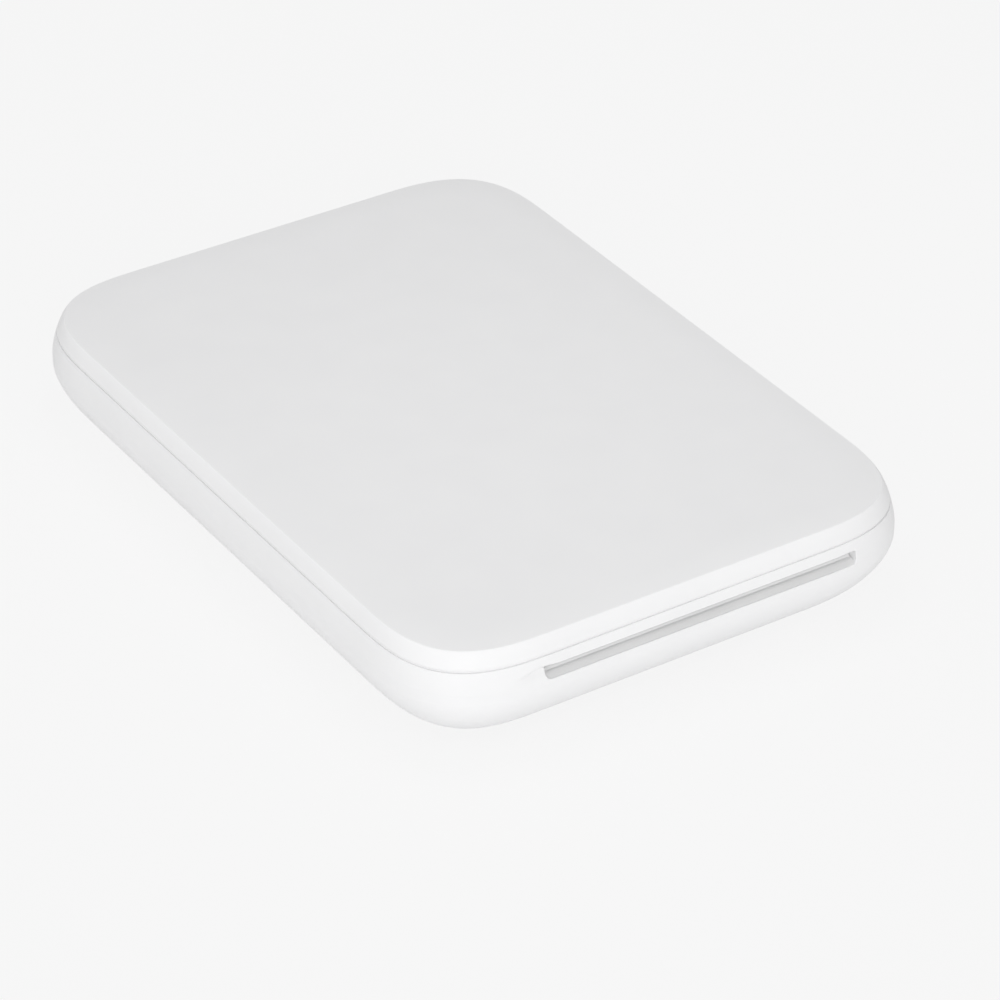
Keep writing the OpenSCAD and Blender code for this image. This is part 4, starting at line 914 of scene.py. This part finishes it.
def buildWorld():
    # The sky's level is its level at the horizon, plus the direction's product with the tilt,
    # less the dimming times the size of the direction's z; the camera and a gloss see the
    # plain background
    world = bpy.data.worlds.new("studio")
    bpy.context.scene.world = world
    world.use_nodes = True
    tree = world.node_tree
    sky = tree.nodes["Background"]
    sky.inputs["Color"].default_value = (1, 1, 1, 1)
    direction = tree.nodes.new("ShaderNodeTexCoord")
    tilt = tree.nodes.new("ShaderNodeVectorMath")
    tilt.operation = "DOT_PRODUCT"
    tilt.inputs[1].default_value = studio["skyTilt"]
    tree.links.new(direction.outputs["Generated"], tilt.inputs[0])
    parts = tree.nodes.new("ShaderNodeSeparateXYZ")
    tree.links.new(direction.outputs["Generated"], parts.inputs[0])
    steep = tree.nodes.new("ShaderNodeMath")
    steep.operation = "ABSOLUTE"
    tree.links.new(parts.outputs["Z"], steep.inputs[0])
    dimmed = tree.nodes.new("ShaderNodeMath")
    dimmed.operation = "MULTIPLY_ADD"
    dimmed.inputs[1].default_value = -studio["skyDim"]
    dimmed.inputs[2].default_value = studio["sky"]
    tree.links.new(steep.outputs[0], dimmed.inputs[0])
    level = tree.nodes.new("ShaderNodeMath")
    level.operation = "ADD"
    tree.links.new(tilt.outputs["Value"], level.inputs[0])
    tree.links.new(dimmed.outputs[0], level.inputs[1])
    tree.links.new(level.outputs[0], sky.inputs["Strength"])
    seen = tree.nodes.new("ShaderNodeBackground")
    seen.inputs["Color"].default_value = (1, 1, 1, 1)
    seen.inputs["Strength"].default_value = studio["background"]
    mixed = tree.nodes.new("ShaderNodeMixShader")
    path = tree.nodes.new("ShaderNodeLightPath")
    tree.links.new(seenDirectly(tree, path), mixed.inputs["Fac"])
    tree.links.new(sky.outputs[0], mixed.inputs[1])
    tree.links.new(seen.outputs[0], mixed.inputs[2])
    tree.links.new(mixed.outputs[0], tree.nodes["World Output"].inputs["Surface"])


def buildLamp(name):
    # A square lamp that turns from the front towards the left and rises from the level
    k = studio[name]
    turn, rise = math.radians(k["turn"]), math.radians(k["rise"])
    away = np.array([-math.sin(turn) * math.cos(rise), -math.cos(turn) * math.cos(rise), math.sin(rise)])
    lamp = bpy.data.lights.new(name, "AREA")
    lamp.shape = "SQUARE"
    lamp.size = k["size"]
    lamp.energy = k["level"] * math.pi ** 2 * k["away"] ** 2
    holder = bpy.data.objects.new(name, lamp)
    holder.visible_glossy = False
    bpy.context.scene.collection.objects.link(holder)
    side = np.array([math.cos(turn), -math.sin(turn), 0])
    turnTo = np.eye(4)
    turnTo[:3, 0], turnTo[:3, 1], turnTo[:3, 2] = side, np.cross(away, side), away
    turnTo[:3, 3] = away * k["away"] + np.array(k["aim"])
    holder.matrix_world = Matrix(turnTo.tolist())


# The camera, fitted to the outline of the body; angles in degrees, lens in mm, the rest in
# metres and shares of the frame
cameraSet = {
    "turn": -32.8864,
    "rise": 32.7012,
    "roll": 0.24768,
    "away": 0.64464,
    "aim": (0.0, 0.0, 0.0095),
    "lens": 158.43,
    "shift": (0.039048, -0.050987),
}


def buildCamera():
    # It stands off the aim along a direction that turns from the front towards the right and
    # rises from the level; the roll turns its right and up about that direction
    c = cameraSet
    a, e, r = (math.radians(c[k]) for k in ("turn", "rise", "roll"))
    back = np.array([math.sin(a) * math.cos(e), -math.cos(a) * math.cos(e), math.sin(e)])
    right = np.array([math.cos(a), math.sin(a), 0])
    up = np.cross(back, right)
    matrix = np.eye(4)
    matrix[:3, 0] = right * math.cos(r) + up * math.sin(r)
    matrix[:3, 1] = up * math.cos(r) - right * math.sin(r)
    matrix[:3, 2] = back
    matrix[:3, 3] = np.array(c["aim"]) + c["away"] * back
    data = bpy.data.cameras.new("camera")
    data.sensor_width = 36
    data.lens = c["lens"]
    data.shift_x, data.shift_y = c["shift"]
    data.clip_start, data.clip_end = 0.01, 20
    holder = bpy.data.objects.new("camera", data)
    bpy.context.scene.collection.objects.link(holder)
    holder.matrix_world = Matrix(matrix.tolist())
    bpy.context.scene.camera = holder


buildFloor()
buildWorld()
buildLamp("key")
buildLamp("fill")
buildCamera()
bpy.context.scene.view_settings.view_transform = "Standard"
print("studio ready")
